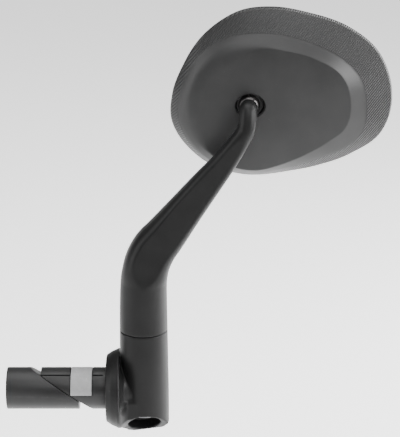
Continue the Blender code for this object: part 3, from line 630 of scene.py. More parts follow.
@dataclass
class Plug:
    """The expanding plug: sleeve, grey band and wedge, bored for their bolt."""

    radius: float = 8.5
    roll: float = math.radians(-18.0)
    end_x: float = -40.2
    wedge_tip_x: float = -11.0
    sleeve_tip_x: float = -26.4
    ramp_x: float = -18.0
    ramp_angle: float = math.radians(34.0)
    travel: float = 2.4
    spigot_r: float = 6.5
    spigot_end: float = 20.0
    bore_r: float = 2.8
    pocket_r: float = 4.7
    pocket_x: float = 4.0
    band_x: tuple[float, float] = (-14.2, -5.7)
    band_t: float = 1.2
    band_low: float = -2.3
    slit_z: float = 5.5
    slit_w: float = 0.5
    slit_depth: float = 1.2
    slit_end_x: float = -1.2
    spigot_edge: float = 0.5
    seal_x: float = 2.0
    seal_half: float = 0.9
    seal_r: float = 5.15
    nut_half: float = 4.3
    nut_pocket_x: float = -34.0
    gap: float = PLAY
    pieces: dict[str, bpy.types.Object] = field(default_factory=dict)

    @property
    def place(self) -> Matrix:
        """The plug's own frame, rolled about the bar's axis."""
        return Matrix.Rotation(self.roll, 4, "X")

    def build(self) -> "Plug":
        """Model the sleeve, the band and the wedge, and return self."""
        axis = self.place @ facing((1, 0, 0))
        edge = self.spigot_edge
        seal = (self.seal_x - self.seal_half, self.seal_x + self.seal_half, self.seal_r)
        sleeve = Bench.turn("sleeve", [
            (self.sleeve_tip_x, self.bore_r), (self.sleeve_tip_x, self.radius), (self.gap, self.radius),
            (self.gap, self.spigot_r), (seal[0], self.spigot_r), (seal[0], seal[2]), (seal[1], seal[2]),
            (seal[1], self.spigot_r), (self.spigot_end - edge, self.spigot_r),
            (self.spigot_end, self.spigot_r - edge), (self.spigot_end, self.pocket_r),
            (self.pocket_x, self.pocket_r), (self.pocket_x, self.bore_r),
        ], axis, closed=True)
        reach = 30.0
        ramp = self.place @ Matrix.Translation((self.ramp_x, 0, 0)) @ Matrix.Rotation(self.ramp_angle, 4, "Y")
        half = self.gap / 2
        groove_r = self.radius - self.band_t - self.gap
        cutters = [
            Bench.block("below", (-reach, -reach, -reach), (reach, reach, half), ramp),
            self.strip("groove", groove_r, self.radius + 1, self.band_x[0] - self.gap,
                       self.band_x[1] + self.gap, self.band_low - self.gap),
        ]
        for side in (-1, 1):
            y = side * math.sqrt(self.radius ** 2 - self.slit_z ** 2)
            ys = sorted((y - side * self.slit_depth, y + side))
            cutters.append(Bench.block("slit", (self.sleeve_tip_x - 1, ys[0], self.slit_z),
                                       (self.slit_end_x, ys[1], self.slit_z + self.slit_w), self.place))
        Bench.combine(sleeve, Operation.CUT, *cutters)
        Bench.round_edges(sleeve, 0.16)
        band = self.strip("band", groove_r + self.gap, self.radius, *self.band_x, self.band_low)
        Bench.round_edges(band, 0.14)
        wedge = Bench.turn("wedge", [(self.end_x, self.radius), (self.wedge_tip_x, self.radius)], axis)
        shift = self.travel * math.tan(self.ramp_angle)
        slot = Bench.lay_rings("slot", [
            [self.place @ Vector((x, self.bore_r * math.cos(a), self.bore_r * math.sin(a)
                                  + (shift if a <= math.pi else 0)))
             for a in (math.pi * (i + 0.5) / 24 for i in range(48))]
            for x in (self.end_x - 1, self.wedge_tip_x + 1)])
        nut = self.nut_half
        Bench.combine(
            wedge, Operation.CUT,
            Bench.block("above", (-reach, -reach, -half), (reach, reach, reach), ramp), slot,
            Bench.block("pocket", (self.end_x - 1, -nut, -nut), (self.nut_pocket_x, nut, nut + shift),
                        self.place))
        Bench.round_edges(wedge, 0.3)
        self.pieces = {"sleeve": sleeve, "band": band, "wedge": wedge}
        return self

    def strip(self, name: str, r0: float, r1: float, x0: float, x1: float, low: float) -> bpy.types.Object:
        """Return a strip round the plug's axis, open below a level."""
        start = math.asin(low / r1)
        steps = 72
        rings = []
        for i in range(steps + 1):
            a = start + (math.pi - 2 * start) * i / steps
            rings.append([self.place @ Vector((x, r * math.cos(a), r * math.sin(a)))
                          for x, r in ((x0, r0), (x1, r0), (x1, r1), (x0, r1))])
        return Bench.lay_rings(name, rings)

    def dress(self, black: bpy.types.Material, grey: bpy.types.Material) -> None:
        """Give the pieces their finishes and bodies."""
        for obj in self.pieces.values():
            Bench.shade(obj, 25.0)
        Bench.finish(self.pieces["sleeve"], "plug", Slot.PLUG, black, "expander_sleeve")
        Bench.finish(self.pieces["band"], "plug", Slot.BAND, grey, "retaining_band")
        Bench.finish(self.pieces["wedge"], "wedge", Slot.PLUG, black, "expander_wedge")


@dataclass
class Screw:
    """A set screw with a hexagon socket."""

    name: str
    body: str
    axis: tuple[float, float, float]
    origin: tuple[float, float, float]
    start: float
    length: float
    radius: float
    key: float
    edge: float = 0.45
    key_start: float = 0.3
    piece: bpy.types.Object | None = None

    def build(self) -> "Screw":
        """Model the screw, and return self."""
        place = facing(self.axis, self.origin)
        top = self.start + self.length
        edge = self.edge
        self.piece = Bench.turn(self.name, [
            (self.start, self.radius - edge), (self.start + edge, self.radius), (top - edge, self.radius),
            (top, self.radius - edge)], place, sides=64)
        Bench.combine(self.piece, Operation.CUT, Bench.turn("key", [
            (self.start + self.length * self.key_start, self.key), (top + 1, self.key)], place, sides=6))
        Bench.round_edges(self.piece, 0.07, 2)
        return self

    def dress(self, steel: bpy.types.Material, node: str) -> None:
        """Give the screw its finish and body."""
        Bench.shade(self.piece, 30.0)
        Bench.finish(self.piece, self.body, Slot.STEEL, steel, node)


@dataclass
class Base:
    """The moulded base: collar, upright tube and the foot with its screw recess."""

    tube_x: float = 15.3
    tube_r: float = 10.0
    tube_top_r: float = 9.65
    seam_z: float = 26.0
    bottom_z: float = -18.4
    collar_r: float = 16.3
    collar_face_r: float = 13.6
    collar_t: float = 5.7
    blend_x: float = 8.7
    fill_start: float = math.radians(-5.0)
    fill_full: float = math.radians(17.0)
    inner_edge: float = math.radians(33.0)
    hub_r: float = 8.4
    foot_tilt: float = math.radians(8.0)
    facet_offset: float = 13.1
    rear_offset: float = 16.4
    recess_r: float = 6.6
    recess_shift: float = 5.6
    recess_floor: float = 8.7
    recess_back: float = 1.8
    hub_blend: tuple[tuple[float, float], ...] = ((0.0, 12.4), (1.6, 10.0), (3.9, 8.9))
    clamp_r: float = 4.3
    clamp_top: float = 13.25
    swivel_z: float = 16.0
    swivel_r: float = 2.8
    bore_r: float = 6.8
    bore_end: float = 21.2
    pivot_r: float = 6.3
    pivot_floor: float = 9.4
    washer_r: float = 8.5
    washer_t: float = 1.1
    hub_sink: float = 0.6
    fill_back: float = 1.0
    fill_reach: float = 1.4
    fill_inset: float = 0.3
    fill_steps: int = 72
    fill_count: int = 16
    corner: float = 4.0
    corner_share: float = 0.15
    mouth_r: float = 8.8
    mouth_t: float = 0.6
    hole_start: float = 5.0
    voxel: float = 0.3
    melt_passes: int = 9
    piece: bpy.types.Object | None = None

    def fill(self) -> list[list[Vector]]:
        """Return the sections of the blend between the collar and the foot."""
        rings = []
        steps = self.fill_steps
        count = self.fill_count
        hub = self.hub_r - self.hub_sink
        for j in range(count + 1):
            span = self.tube_x - self.collar_t + self.fill_reach
            x = self.collar_t - self.fill_back + span * j / count
            t = min(max((x - self.collar_t) / (self.blend_x - self.collar_t), 0), 1)
            lower = (self.tube_x - x) * math.tan(self.foot_tilt)
            ring = []
            for i in range(steps + 1):
                down = self.fill_start + (math.pi - 2 * self.fill_start) * i / steps
                c, s = math.cos(down), math.sin(down)
                slant = lower * math.sqrt(0.5)
                reach = min((self.tube_r - self.fill_inset) / max(abs(c), 0.01),
                            (lower - self.bottom_z - self.fill_inset) / max(s, 0.01),
                            (self.facet_offset + slant) / max(math.cos(down - math.pi / 4), 0.01),
                            (self.rear_offset + slant) / max(math.cos(down - 3 * math.pi / 4), 0.01))
                full = (1 - t) * self.collar_r + t * reach
                w = (min(down, math.pi - down) - self.fill_start) / (self.fill_full - self.fill_start)
                w = min(max(w, 0), 1)
                r = hub + (full - hub) * w * w * (3 - 2 * w)
                ring.append(Vector((x, -r * c, -r * s)))
            rings.append(ring)
        return rings

    def build(self) -> "Base":
        """Model the base as one moulding, and return self."""
        upright = facing((0, 0, 1), (self.tube_x, 0, 0))
        outward = facing((1, 0, 0))
        low = self.bottom_z - self.tube_r * math.tan(self.foot_tilt)
        body = Bench.turn("base", [
            (low, self.tube_r), (0, self.tube_r), (self.seam_z - 0.2, self.tube_top_r),
            (self.seam_z, self.tube_top_r - 0.1)], upright)
        foot = Matrix.Translation((self.tube_x, 0, 0)) @ Matrix.Rotation(-self.foot_tilt, 4, "Y")
        reach = 40.0
        facets = [Bench.block("under", (-reach, -reach, -reach), (reach, reach, self.bottom_z), foot)]
        for side, offset in ((1, self.rear_offset), (-1, self.facet_offset)):
            tilt = foot @ Matrix.Rotation(math.pi + side * math.pi / 4, 4, "X")
            facets.append(Bench.block("facet", (-reach, -reach, offset), (reach, reach, reach), tilt))
        edge = self.corner
        corner = (foot @ Matrix.Translation((self.tube_r - edge, 0, self.bottom_z))
                  @ Matrix.Rotation(-math.pi / 4, 4, "Y"))
        facets.append(Bench.block("corner", (-reach, -reach, -reach),
                                  (reach, reach, edge * self.corner_share), corner))
        inner = (Matrix.Translation((self.collar_t, 0, 0.3 - self.collar_r))
                 @ Matrix.Rotation(self.inner_edge, 4, "Y"))
        facets.append(Bench.block("inner", (-reach, -reach, -reach), (reach, reach, 0), inner))
        Bench.combine(body, Operation.CUT, *facets)
        collar = Bench.turn("collar", [
            (0, self.collar_face_r),
            (self.collar_t * 0.4, (self.collar_face_r + 2 * self.collar_r) / 3 - 0.3),
            (self.collar_t - 0.6, self.collar_r), (self.collar_t, self.collar_r - 0.4),
            *((self.collar_t + past, radius) for past, radius in self.hub_blend),
            (self.tube_x, self.hub_r)], outward)
        Bench.combine(body, Operation.JOIN, collar, Bench.lay_rings("fill", self.fill()))
        recess = (foot @ Matrix.Rotation(math.pi * 3 / 4, 4, "X")
                  @ Matrix.Translation((-self.recess_back, -self.recess_shift, 0)))
        clamp = math.pi / 4 + math.atan(self.recess_shift / self.recess_floor)
        clamp_axis = (0, -math.cos(clamp), -math.sin(clamp))
        rim = self.seam_z - self.washer_t
        Bench.combine(
            body, Operation.CUT,
            Bench.turn("bore", [(-1, self.mouth_r), (self.mouth_t, self.mouth_r),
                                (self.mouth_t, self.bore_r), (self.bore_end, self.bore_r)], outward),
            Bench.turn("well", [(self.pivot_floor, self.pivot_r), (rim, self.pivot_r),
                                (rim, self.washer_r), (self.seam_z + 1, self.washer_r)], upright),
            Bench.turn("clamp_hole", [(self.hole_start, self.clamp_r), (self.clamp_top, self.clamp_r)],
                       facing(clamp_axis, (self.tube_x, 0, 0)), sides=64),
            Bench.turn("recess", [(self.recess_floor, self.recess_r), (reach, self.recess_r)], recess),
            Bench.turn("swivel_hole", [(self.hole_start, self.swivel_r), (reach, self.swivel_r)],
                       facing((0, 1, 0), (self.tube_x, 0, self.swivel_z)), sides=64))
        Bench.tidy(body)
        Bench.melt(body, self.voxel, self.melt_passes)
        self.piece = body
        return self

    def dress(self, black: bpy.types.Material) -> None:
        """Give the base its finish and body."""
        Bench.finish(self.piece, "base", Slot.ARM, black, "base_body")


@dataclass
class Arm:
    """The cranked arm with its flat front and the bent neck."""

    stations: tuple[tuple[float, ...], ...] = (
        (15.3, 0.0, 26.3, 9.65, 9.65, 12.0),
        (15.3, 0.0, 36.0, 9.5, 9.5, 10.6),
        (15.5, 0.0, 45.5, 9.3, 9.3, 9.4),
        (16.2, 0.0, 51.0, 9.2, 9.1, 8.5),
        (17.6, 0.0, 56.0, 9.05, 8.8, 7.9),
        (20.2, 0.0, 60.9, 8.75, 8.3, 7.3),
        (24.4, 0.0, 66.2, 8.1, 7.7, 6.7),
        (32.5, 0.0, 76.9, 6.85, 6.5, 5.5),
        (40.6, 0.0, 87.4, 5.75, 5.2, 4.6),
        (46.7, 0.0, 95.1, 4.8, 4.4, 4.0),
        (52.7, 0.1, 103.6, 3.9, 3.9, 3.7),
        (55.9, 0.7, 109.2, 3.6, 3.6, 4.2),
    )
    ball: tuple[float, float, float] = BALL
    neck_r: float = NECK_R
    neck_end: float = NECK_END
    slant: float = BALL_SLANT
    square: float = 2.8
    square_at: float = 0.1
    socket_z: tuple[float, float] = (25.3, 35.3)
    socket_r: float = 4.5
    stud_bore: float = -4.2
    stud_bore_r: float = 2.4
    sides: int = 112
    steps: int = 9
    piece: bpy.types.Object | None = None

    @property
    def neck(self) -> Vector:
        """The way from the end of the arm to the ball."""
        return Vector((math.sin(self.slant), math.cos(self.slant), 0))

    def rings(self) -> list[list[Vector]]:
        """Return the arm's cross-sections from the seam to the end of its neck."""
        stations = [tuple(s) for s in self.stations]
        for along, lift in ((5.6, -0.45), (2.8, 0.0), (0.0, 0.0)):
            p = Vector(self.ball) - self.neck * (self.neck_end + along) + Vector((0, 0, lift))
            stations.append((p.x, p.y, p.z, self.neck_r, self.neck_r, 2 * self.neck_r))
        path = curve_through(stations, self.steps)
        centers = [Vector(p[:3]) for p in path]
        front = Vector((0, -1, 0))
        rings = []
        for i, (_, _, _, w, d, flat) in enumerate(path):
            ahead = centers[min(i + 1, len(path) - 1)] - centers[max(i - 1, 0)]
            if i == 0:
                ahead = Vector((0, 0, 1))
            if i == len(path) - 1:
                ahead = self.neck
            ahead.normalize()
            front = (front - ahead * front.dot(ahead)).normalized()
            side = front.cross(ahead)
            rings.append(self.section(centers[i], side, front, w, d, flat))
        return rings

    def section(self, center: Vector, side: Vector, front: Vector, w: float, d: float,
                flat: float) -> list[Vector]:
        """Return one cross-section: an oval whose front is planed flat.

        Args:
            center: its middle.
            side: the way across the arm.
            front: the way out of its flat.
            w: half its width.
            d: half its depth.
            flat: how far from the middle the flat lies.

        Returns:
            The section's points.
        """
        taken = min(max((1 - flat / d) / self.square_at, 0), 1)
        blunt = 2 + (self.square - 2) * taken
        ring = []
        for k in range(self.sides):
            a = 2 * math.pi * (k + 0.5) / self.sides
            c, s = math.cos(a), math.sin(a)
            u = w * math.copysign(abs(c) ** (2 / blunt), c)
            v = d * math.copysign(abs(s) ** (2 / blunt), s)
            v -= self.soft(v - flat)
            ring.append(center + side * u + front * v)
        return ring

    @staticmethod
    def soft(over: float, width: float = 0.16) -> float:
        """Return how much is planed off, with a small rounding where the flat starts."""
        if over <= -width:
            return 0.0
        if over >= width:
            return over
        return (over + width) ** 2 / (4 * width)

    def build(self) -> "Arm":
        """Model the arm, and return self."""
        body = Bench.lay_rings("arm", self.rings())
        Bench.combine(
            body, Operation.CUT,
            Bench.turn("socket", [(z, self.socket_r) for z in self.socket_z],
                       facing((0, 0, 1), (self.stations[0][0], 0, 0)), sides=64),
            Bench.turn("stud_bore", [(self.stud_bore, self.stud_bore_r), (1, self.stud_bore_r)],
                       facing(self.neck, Vector(self.ball) - self.neck * self.neck_end), sides=64))
        Bench.round_edges(body, 0.12, 3, 50.0)
        self.piece = body
        return self

    def dress(self, black: bpy.types.Material) -> None:
        """Give the arm its finish and body."""
        Bench.shade(self.piece, 34.0)
        Bench.finish(self.piece, "arm", Slot.ARM, black, "arm_body")


@dataclass
class Stud:
    """The turned stud and its ball."""

    ball: tuple[float, float, float] = BALL
    ball_r: float = 5.5
    neck_r: float = NECK_R
    neck_end: float = NECK_END
    stud_r: float = 2.9
    collar_l: float = 1.0
    shank_l: float = 3.9
    shank_r: float = 2.1
    slant: float = BALL_SLANT
    piece: bpy.types.Object | None = None

    def build(self) -> "Stud":
        """Model the stud, and return self."""
        start = -self.neck_end + PLAY
        end = start + self.collar_l
        meet = math.pi - math.asin(self.stud_r / self.ball_r)
        arc = [meet + (0.06 - meet) * i / 40 for i in range(41)]
        rim = self.neck_r
        groove = 0.16
        self.piece = Bench.turn("stud", [
            (start - self.shank_l, self.shank_r), (start, self.shank_r), (start, rim - 0.25),
            (start + 0.25, rim),
            (start + 0.4, rim), (start + 0.5, rim - groove), (start + 0.6, rim), (end - 0.3, rim),
            (end, rim - 0.3), (end, self.stud_r),
            *((self.ball_r * math.cos(a), self.ball_r * math.sin(a)) for a in arc),
        ], facing((math.sin(self.slant), math.cos(self.slant), 0), self.ball), sides=80)
        return self

    def dress(self, metal: bpy.types.Material) -> None:
        """Give the stud its finish and body."""
        Bench.shade(self.piece, 30.0)
        Bench.finish(self.piece, "arm", Slot.STUD, metal, "ball_stud")


@dataclass
class Head:
    """The head: housing with its plateau, slope band and ribbed rim, the glass and its gasket."""

    ball: tuple[float, float, float] = BALL
    outline: Outline = (
        (0, 56.6), (20, 54.6), (38, 48.4), (55, 42.4), (75, 38.7), (95, 36.3), (120, 32.7), (150, 30.0),
        (175, 30.8), (195, 32.1), (225, 31.1), (265, 31.0), (295, 33.0), (315, 38.5), (332, 46.7),
        (345, 54.0))
    shoulder: Outline = (
        (0, 45.4), (14, 43.9), (43, 33.9), (62, 30.0), (90, 27.4), (125, 27.0), (160, 27.2), (200, 28.4),
        (235, 28.2), (270, 28.6), (300, 30.6), (320, 35.2), (334, 41.6), (346, 45.6))
    plateau: Outline = (
        (0, 39.5), (18, 37.5), (38, 30.8), (60, 25.4), (90, 23.2), (125, 23.0), (160, 23.2), (200, 23.8),
        (233, 25.0), (270, 26.6), (298, 27.3), (318, 29.9), (334, 34.2), (346, 38.6))
    plateau_y: float = -6.4
    plateau_edge_y: float = -5.3
    shoulder_y: float = -1.8
    rim_y: float = 2.2
    widest_y: float = 3.4
    lip_y: float = 13.4
    draft: float = 2.0
    wall: float = 1.6
    hole: tuple[float, float] = (6.1, 5.0)
    chamfer: float = 0.45
    socket_r: float = 7.1
    boss_r: float = 12.0
    glass_radius: float = 500.0
    glass_t: float = 2.0
    glass_mid: tuple[float, float] = (12.0, 3.0)
    gasket_w: float = 1.0
    glass_rim_r: float = 45.0
    boss_rise: float = 0.6
    retainer_t: float = 1.8
    carrier_lift: float = 1.6
    carrier_t: float = 1.2
    foam_t: float = 0.4
    gasket_lift: float = 1.3
    sides: int = 208
    steps: int = 6
    pieces: dict[str, bpy.types.Object] = field(default_factory=dict)

    @property
    def lip_in(self) -> float:
        """How far inside the outline the lip's inner wall stands."""
        return self.draft + self.wall

    @staticmethod
    def radius_at(outline: Outline, angle: float) -> float:
        """Return the radius of a smooth closed outline at an angle in degrees."""
        count = len(outline)
        angle %= 360
        i = max(k for k in range(count) if outline[k][0] <= angle)
        span = [outline[(i + k) % count] for k in (-1, 0, 1, 2)]
        a = [p[0] + 360 * ((i + k) // count) for p, k in zip(span, (-1, 0, 1, 2))]
        r = [p[1] for p in span]
        width = a[2] - a[1]
        t = (angle - a[1]) / width
        m1 = (r[2] - r[0]) / (a[2] - a[0]) * width
        m2 = (r[3] - r[1]) / (a[3] - a[1]) * width
        return ((2 * t ** 3 - 3 * t ** 2 + 1) * r[1] + (t ** 3 - 2 * t ** 2 + t) * m1
                + (3 * t ** 2 - 2 * t ** 3) * r[2] + (t ** 3 - t ** 2) * m2)

    def hole_at(self, degrees: float, extra: float) -> float:
        """Return the radius of the oval hole at an angle."""
        a = math.radians(degrees)
        return extra + 1 / math.hypot(math.cos(a) / self.hole[0], math.sin(a) / self.hole[1])

    def fade(self, degrees: float) -> float:
        """Return how far the plateau's crease has faded: 1 at the upper left, 0 elsewhere."""
        away = abs((degrees - 150 + 180) % 360 - 180)
        t = min(max(1.5 - away / 60, 0), 1)
        return t * t * (3 - 2 * t)

    def housing_section(self, degrees: float) -> list[Vector]:
        """Return the housing's section at an angle, as (radius, level) points all the way round its wall."""
        out = self.radius_at(self.outline, degrees)
        mid = self.radius_at(self.shoulder, degrees)
        top = self.radius_at(self.plateau, degrees)
        throat = self.hole_at(degrees, -self.chamfer)
        boss_y = self.socket_r + self.boss_rise
        ceiling = self.plateau_y + self.wall
        faded = self.fade(degrees)
        corners = [
            (throat, self.plateau_y + self.chamfer, 0.12),
            (self.hole_at(degrees, 0), self.plateau_y, 0.10),
            (0.62 * top, self.plateau_y + 0.2, 6.0),
            (top, self.plateau_edge_y, 0.45 + 5.5 * faded),
            (mid, self.shoulder_y, 0.8 + 1.5 * faded),
            (out - 0.5, self.rim_y, 0.5),
            (out, self.widest_y, 0.5),
            (out - self.draft, self.lip_y, 0.45),
            (out - self.lip_in, self.lip_y, 0.35),
            (out - self.lip_in, self.widest_y + 2, 1.0),
            (mid - self.wall / 2, self.shoulder_y + self.wall + 0.5, 1.0),
            (top - self.wall, self.plateau_edge_y + self.wall + 0.3, 1.0),
            (self.boss_r, ceiling, 0.4),
            (self.boss_r, boss_y, 0.3),
            (self.socket_r, boss_y, 0.2),
        ]
        points = [Vector((r, y)) for r, y, _ in corners]
        radii = [c[2] for c in corners]
        for a in (90, 78, 68):
            points.append(Vector((self.socket_r * math.sin(math.radians(a)),
                                  -self.socket_r * math.cos(math.radians(a)))))
            radii.append(0.3)
        points.append(Vector((throat, -math.sqrt(self.socket_r ** 2 - throat ** 2))))
        radii.append(0.12)
        return rounded(points, radii, self.steps)

    def swept(self, name: str, section: Callable[[float], Sequence[Vector]],
              closed: bool = True) -> bpy.types.Object:
        """Return a solid of one ring per section point, laid round the ball.

        Args:
            name: the object's name.
            section: gives the (radius, level) points at an angle in degrees.
            closed: whether the section is a closed loop.

        Returns:
            The solid.
        """
        angles = [360 * k / self.sides for k in range(self.sides)]
        sections = [section(d) for d in angles]
        center = Vector(self.ball)
        rings = []
        for i in range(len(sections[0])):
            ring = []
            for degrees, points in zip(angles, sections):
                r, y = points[i]
                a = math.radians(degrees)
                ring.append(center + Vector((r * math.cos(a), y, r * math.sin(a))))
            rings.append(ring)
        return Bench.lay_rings(name, rings, closed)

    def plate_section(self, inset: float, back: float, front: float) -> Callable[[float], list[Vector]]:
        """Return the section of a domed plate whose rim lies a given inset inside the outline."""
        def section(degrees: float) -> list[Vector]:
            """Return the plate's (radius, level) points at an angle."""
            edge = self.radius_at(self.outline, degrees) - inset
            a = math.radians(degrees)
            shares = [0.01, *(i / 12 for i in range(1, 12))]

            def level(radius: float, start: float) -> float:
                """Return the plate's level at a radius."""
                away = math.hypot(radius * math.cos(a) - self.glass_mid[0],
                                  radius * math.sin(a) - self.glass_mid[1])
                return start + (self.glass_rim_r ** 2 - away ** 2) / (2 * self.glass_radius)

            under = [Vector((edge * s, level(edge * s, back))) for s in shares]
            over = [Vector((edge * s, level(edge * s, front))) for s in reversed(shares)]
            bevel = 0.25
            rim = [(edge - bevel, back), (edge, back + bevel), (edge, front - bevel), (edge - bevel, front)]
            return [*under, *(Vector((r, level(r, y))) for r, y in rim), *over]
        return section

    def build(self) -> "Head":
        """Model the housing, the gasket and the glass, and return self."""
        housing = self.swept("housing", self.housing_section)
        self.mark_ribs(housing)
        plate_top = self.socket_r + self.boss_rise + PLAY + self.retainer_t
        carrier = plate_top + PLAY - self.glass_rim_r ** 2 / (2 * self.glass_radius) + self.carrier_lift
        glass_y = carrier + self.carrier_t + PLAY + self.foam_t + PLAY
        outer = self.lip_in + PLAY
        glass_inset = outer + self.gasket_w + PLAY
        glass = self.swept("glass", self.plate_section(glass_inset, glass_y, glass_y + self.glass_t), False)
        low = carrier + self.carrier_t + PLAY + self.gasket_lift
        high = glass_y + self.glass_t

        def gasket_section(degrees: float) -> list[Vector]:
            """Return the gasket's (radius, level) points at an angle."""
            out = self.radius_at(self.outline, degrees) - outer
            inner = out - self.gasket_w
            return rounded([Vector((out, low)), Vector((out, high)), Vector((inner, high)),
                            Vector((inner, low))], [0.1, 0.4, 0.4, 0.1], 5)
        gasket = self.swept("gasket", gasket_section)
        self.pieces = {"housing": housing, "glass": glass, "gasket": gasket}
        return self

    def mark_ribs(self, housing: bpy.types.Object) -> None:
        """Mark the rim's vertices, where the moulded ribs run; they stop short of the upper left."""
        mark = housing.data.attributes.new("ribbed", "FLOAT", "POINT")
        center = Vector(self.ball)
        for vert in housing.data.vertices:
            place = vert.co / MM - center
            degrees = math.degrees(math.atan2(place.z, place.x)) % 360
            radius = math.hypot(place.x, place.z)
            mid = self.radius_at(self.shoulder, degrees)
            outside = radius > mid + 0.5 and place.y > self.shoulder_y
            front = place.y < self.widest_y + 0.6
            mark.data[vert.index].value = 1.0 if outside and front else 0.0

    def dress(self, plastic: bpy.types.Material, glass: bpy.types.Material,
              rubber: bpy.types.Material) -> None:
        """Give the pieces their finishes and body."""
        for key, angle in (("housing", 28.0), ("glass", 35.0), ("gasket", 40.0)):
            Bench.shade(self.pieces[key], angle)
        Bench.finish(self.pieces["housing"], "head", Slot.HOUSING, plastic, "rear_housing")
        Bench.finish(self.pieces["glass"], "head", Slot.MIRROR, glass, "mirror_glass")
        Bench.finish(self.pieces["gasket"], "head", Slot.RUBBER, rubber, "glass_gasket")


# Studio ----------------------------------------------------------------------------------------


@dataclass(frozen=True)
class Lamp:
    """One soft box."""

    name: str
    place: tuple[float, float, float]
    size: tuple[float, float]
    power: float
    target: tuple[float, float, float] = (0.045, 0.0, 0.07)

    def put(self) -> None:
        """Put the lamp in the scene, aimed at its target."""
        data = bpy.data.lights.new(self.name, "AREA")
        data.shape = "RECTANGLE"
        data.size, data.size_y = self.size
        data.energy = self.power
        obj = bpy.data.objects.new(self.name, data)
        obj.location = self.place
        obj.rotation_euler = (Vector(self.target) - Vector(self.place)).to_track_quat("-Z", "Y").to_euler()
        bpy.context.scene.collection.objects.link(obj)


@dataclass
class Studio:
    """Pale floor, soft light and the camera."""

    floor_z: float = -0.16
    floor_size: float = 14.0
    camera_place: tuple[float, float, float] = (0.0379, -0.6313, 0.2902)
    camera_tilt: float = math.radians(71.0)
    lens: float = 140.05
    sky: float = 0.28
    lamps: tuple[Lamp, ...] = (
        Lamp("right_box", (0.75, 0.30, 0.25), (0.35, 1.0), 22.0),
        Lamp("right_front_box", (0.95, -0.35, 0.50), (0.5, 0.6), 18.0, (0.07, 0.02, 0.13)),
        Lamp("top_front_box", (0.15, -0.85, 1.05), (0.9, 0.7), 9.0),
        Lamp("top_box", (-0.05, 0.05, 0.95), (0.8, 0.8), 9.0),
        Lamp("left_box", (-0.8, -0.25, 0.35), (0.5, 0.9), 6.0),
    )

    def build(self) -> None:
        """Make the floor, the world, the lamps and the camera."""
        Bench.clear()
        bpy.ops.mesh.primitive_plane_add(size=self.floor_size, location=(0, 0, self.floor_z))
        floor = bpy.context.object
        floor.name = "floor"
        recipe = Recipe("pale_floor")
        recipe.paint((0.92, 0.92, 0.92, 1.0), 0.9)
        recipe.uniform(Emission_Color=(1.0, 1.0, 1.0, 1.0), Emission_Strength=0.95)
        floor.data.materials.append(recipe.material)
        world = bpy.data.worlds.new("studio")
        world.use_nodes = True
        world.node_tree.nodes["Background"].inputs["Color"].default_value = (self.sky,) * 3 + (1.0,)
        world.node_tree.nodes["Background"].inputs["Strength"].default_value = 1.0
        bpy.context.scene.world = world
        for lamp in self.lamps:
            lamp.put()
        data = bpy.data.cameras.new("camera")
        data.lens = self.lens
        data.sensor_width = 36.0
        data.clip_start = 0.01
        camera = bpy.data.objects.new("camera", data)
        camera.location = self.camera_place
        camera.rotation_euler = (self.camera_tilt, 0, 0)
        bpy.context.scene.collection.objects.link(camera)
        bpy.context.scene.camera = camera


def dress_carried_nodes(finishes: Mapping[str, bpy.types.Material]) -> None:
    """Give every CAD node that still shows its procedural finish.

    Args:
        finishes: the materials by their short names.
    """
    wanted = {
        "spigot_seal": "rubber", "pivot_friction_ring": "rubber", "bolt_washer": "steel",
        "expander_bolt": "thread", "wedge_nut": "steel", "clamp_pad": "brass", "swivel_pad": "brass",
        "slip_washer": "nylon", "front_seat": "nylon", "rear_seat": "nylon", "arm_pivot": "steel",
        "pressure_spring": "steel", "retainer_screw_1": "steel", "retainer_screw_2": "steel",
        "retainer_screw_3": "steel", "socket_retainer": "housing_inside", "glass_carrier": "housing_inside",
        "adhesive_pad": "foam",
    }
    for node, finish in wanted.items():
        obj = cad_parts[node]
        obj.data.materials.clear()
        obj.data.materials.append(finishes[finish])
        LOG.info("%s: carried over in %s", node, finish)


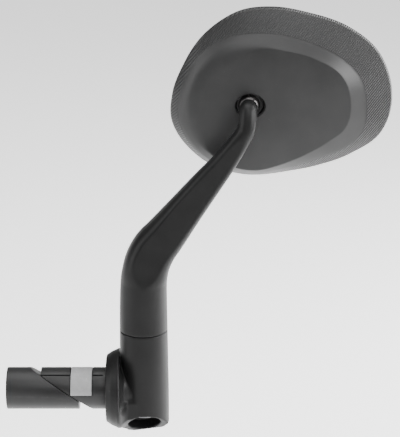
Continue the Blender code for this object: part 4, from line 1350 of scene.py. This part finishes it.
def main() -> None:
    """Build and dress every sub-assembly, then the studio."""
    logging.basicConfig(level=logging.INFO, format="%(name)s %(message)s")
    arm_black = MouldedPlastic("moulded_charcoal", 0.0065, 0.40, gloss=0.14).make()
    shell_black = MouldedPlastic("moulded_shell", 0.0115, 0.42, gloss=0.34, ribs=Ribbing()).make()
    plug_black = MouldedPlastic("plug_black", 0.012, 0.40, gloss=0.26, wear=0.15).make()
    band_grey = MouldedPlastic("band_grey", 0.24, 0.45, grain_depth=0.012, wear=0.2).make()
    rubber = SoftRubber("black_rubber", 0.018).make()
    steel = MachinedMetal("blackened_steel", (0.10, 0.10, 0.105), 0.38).make()
    neck = (math.sin(BALL_SLANT), math.cos(BALL_SLANT), 0.0)
    finishes = {
        "rubber": rubber,
        "steel": steel,
        "thread": MachinedMetal("threaded_steel", (0.22, 0.22, 0.225), 0.34, pitch=0.8, depth=0.4).make(),
        "brass": MachinedMetal("turned_brass", (0.60, 0.45, 0.21), 0.32, pitch=0.15).make(),
        "nylon": MouldedPlastic("black_nylon", 0.030, 0.40, grain_depth=0.008, wear=0.1).make(),
        "housing_inside": MouldedPlastic("inner_plastic", 0.025, 0.50).make(),
        "foam": SoftRubber("foam_tape", 0.10, 0.9, 0.6, 0.05).make(),
    }
    stud_metal = MachinedMetal("anodised_stud", (0.10, 0.095, 0.095), 0.30, axis=neck, pitch=0.35,
                               depth=0.02, metallic=0.9).make()
    Plug().build().dress(plug_black, band_grey)
    base = Base().build()
    base.dress(arm_black)
    clamp = math.pi / 4 + math.atan(base.recess_shift / base.recess_floor)
    Screw("clamp_set_screw", "clamp_set_screw", (0, -math.cos(clamp), -math.sin(clamp)),
          (base.tube_x, 0, 0), 8.3, 3.4, 4.0, 2.3).build().dress(steel, "clamp_screw")
    Screw("swivel_set_screw", "swivel_set_screw", (0, 1, 0), (base.tube_x, 0, base.swivel_z),
          6.4, 3.2, 2.5, 1.45).build().dress(steel, "swivel_screw")
    Arm().build().dress(arm_black)
    Stud().build().dress(stud_metal)
    Head().build().dress(shell_black, MirrorGlass().make(), rubber)
    dress_carried_nodes(finishes)
    Studio().build()


if __name__ == "__main__":
    main()
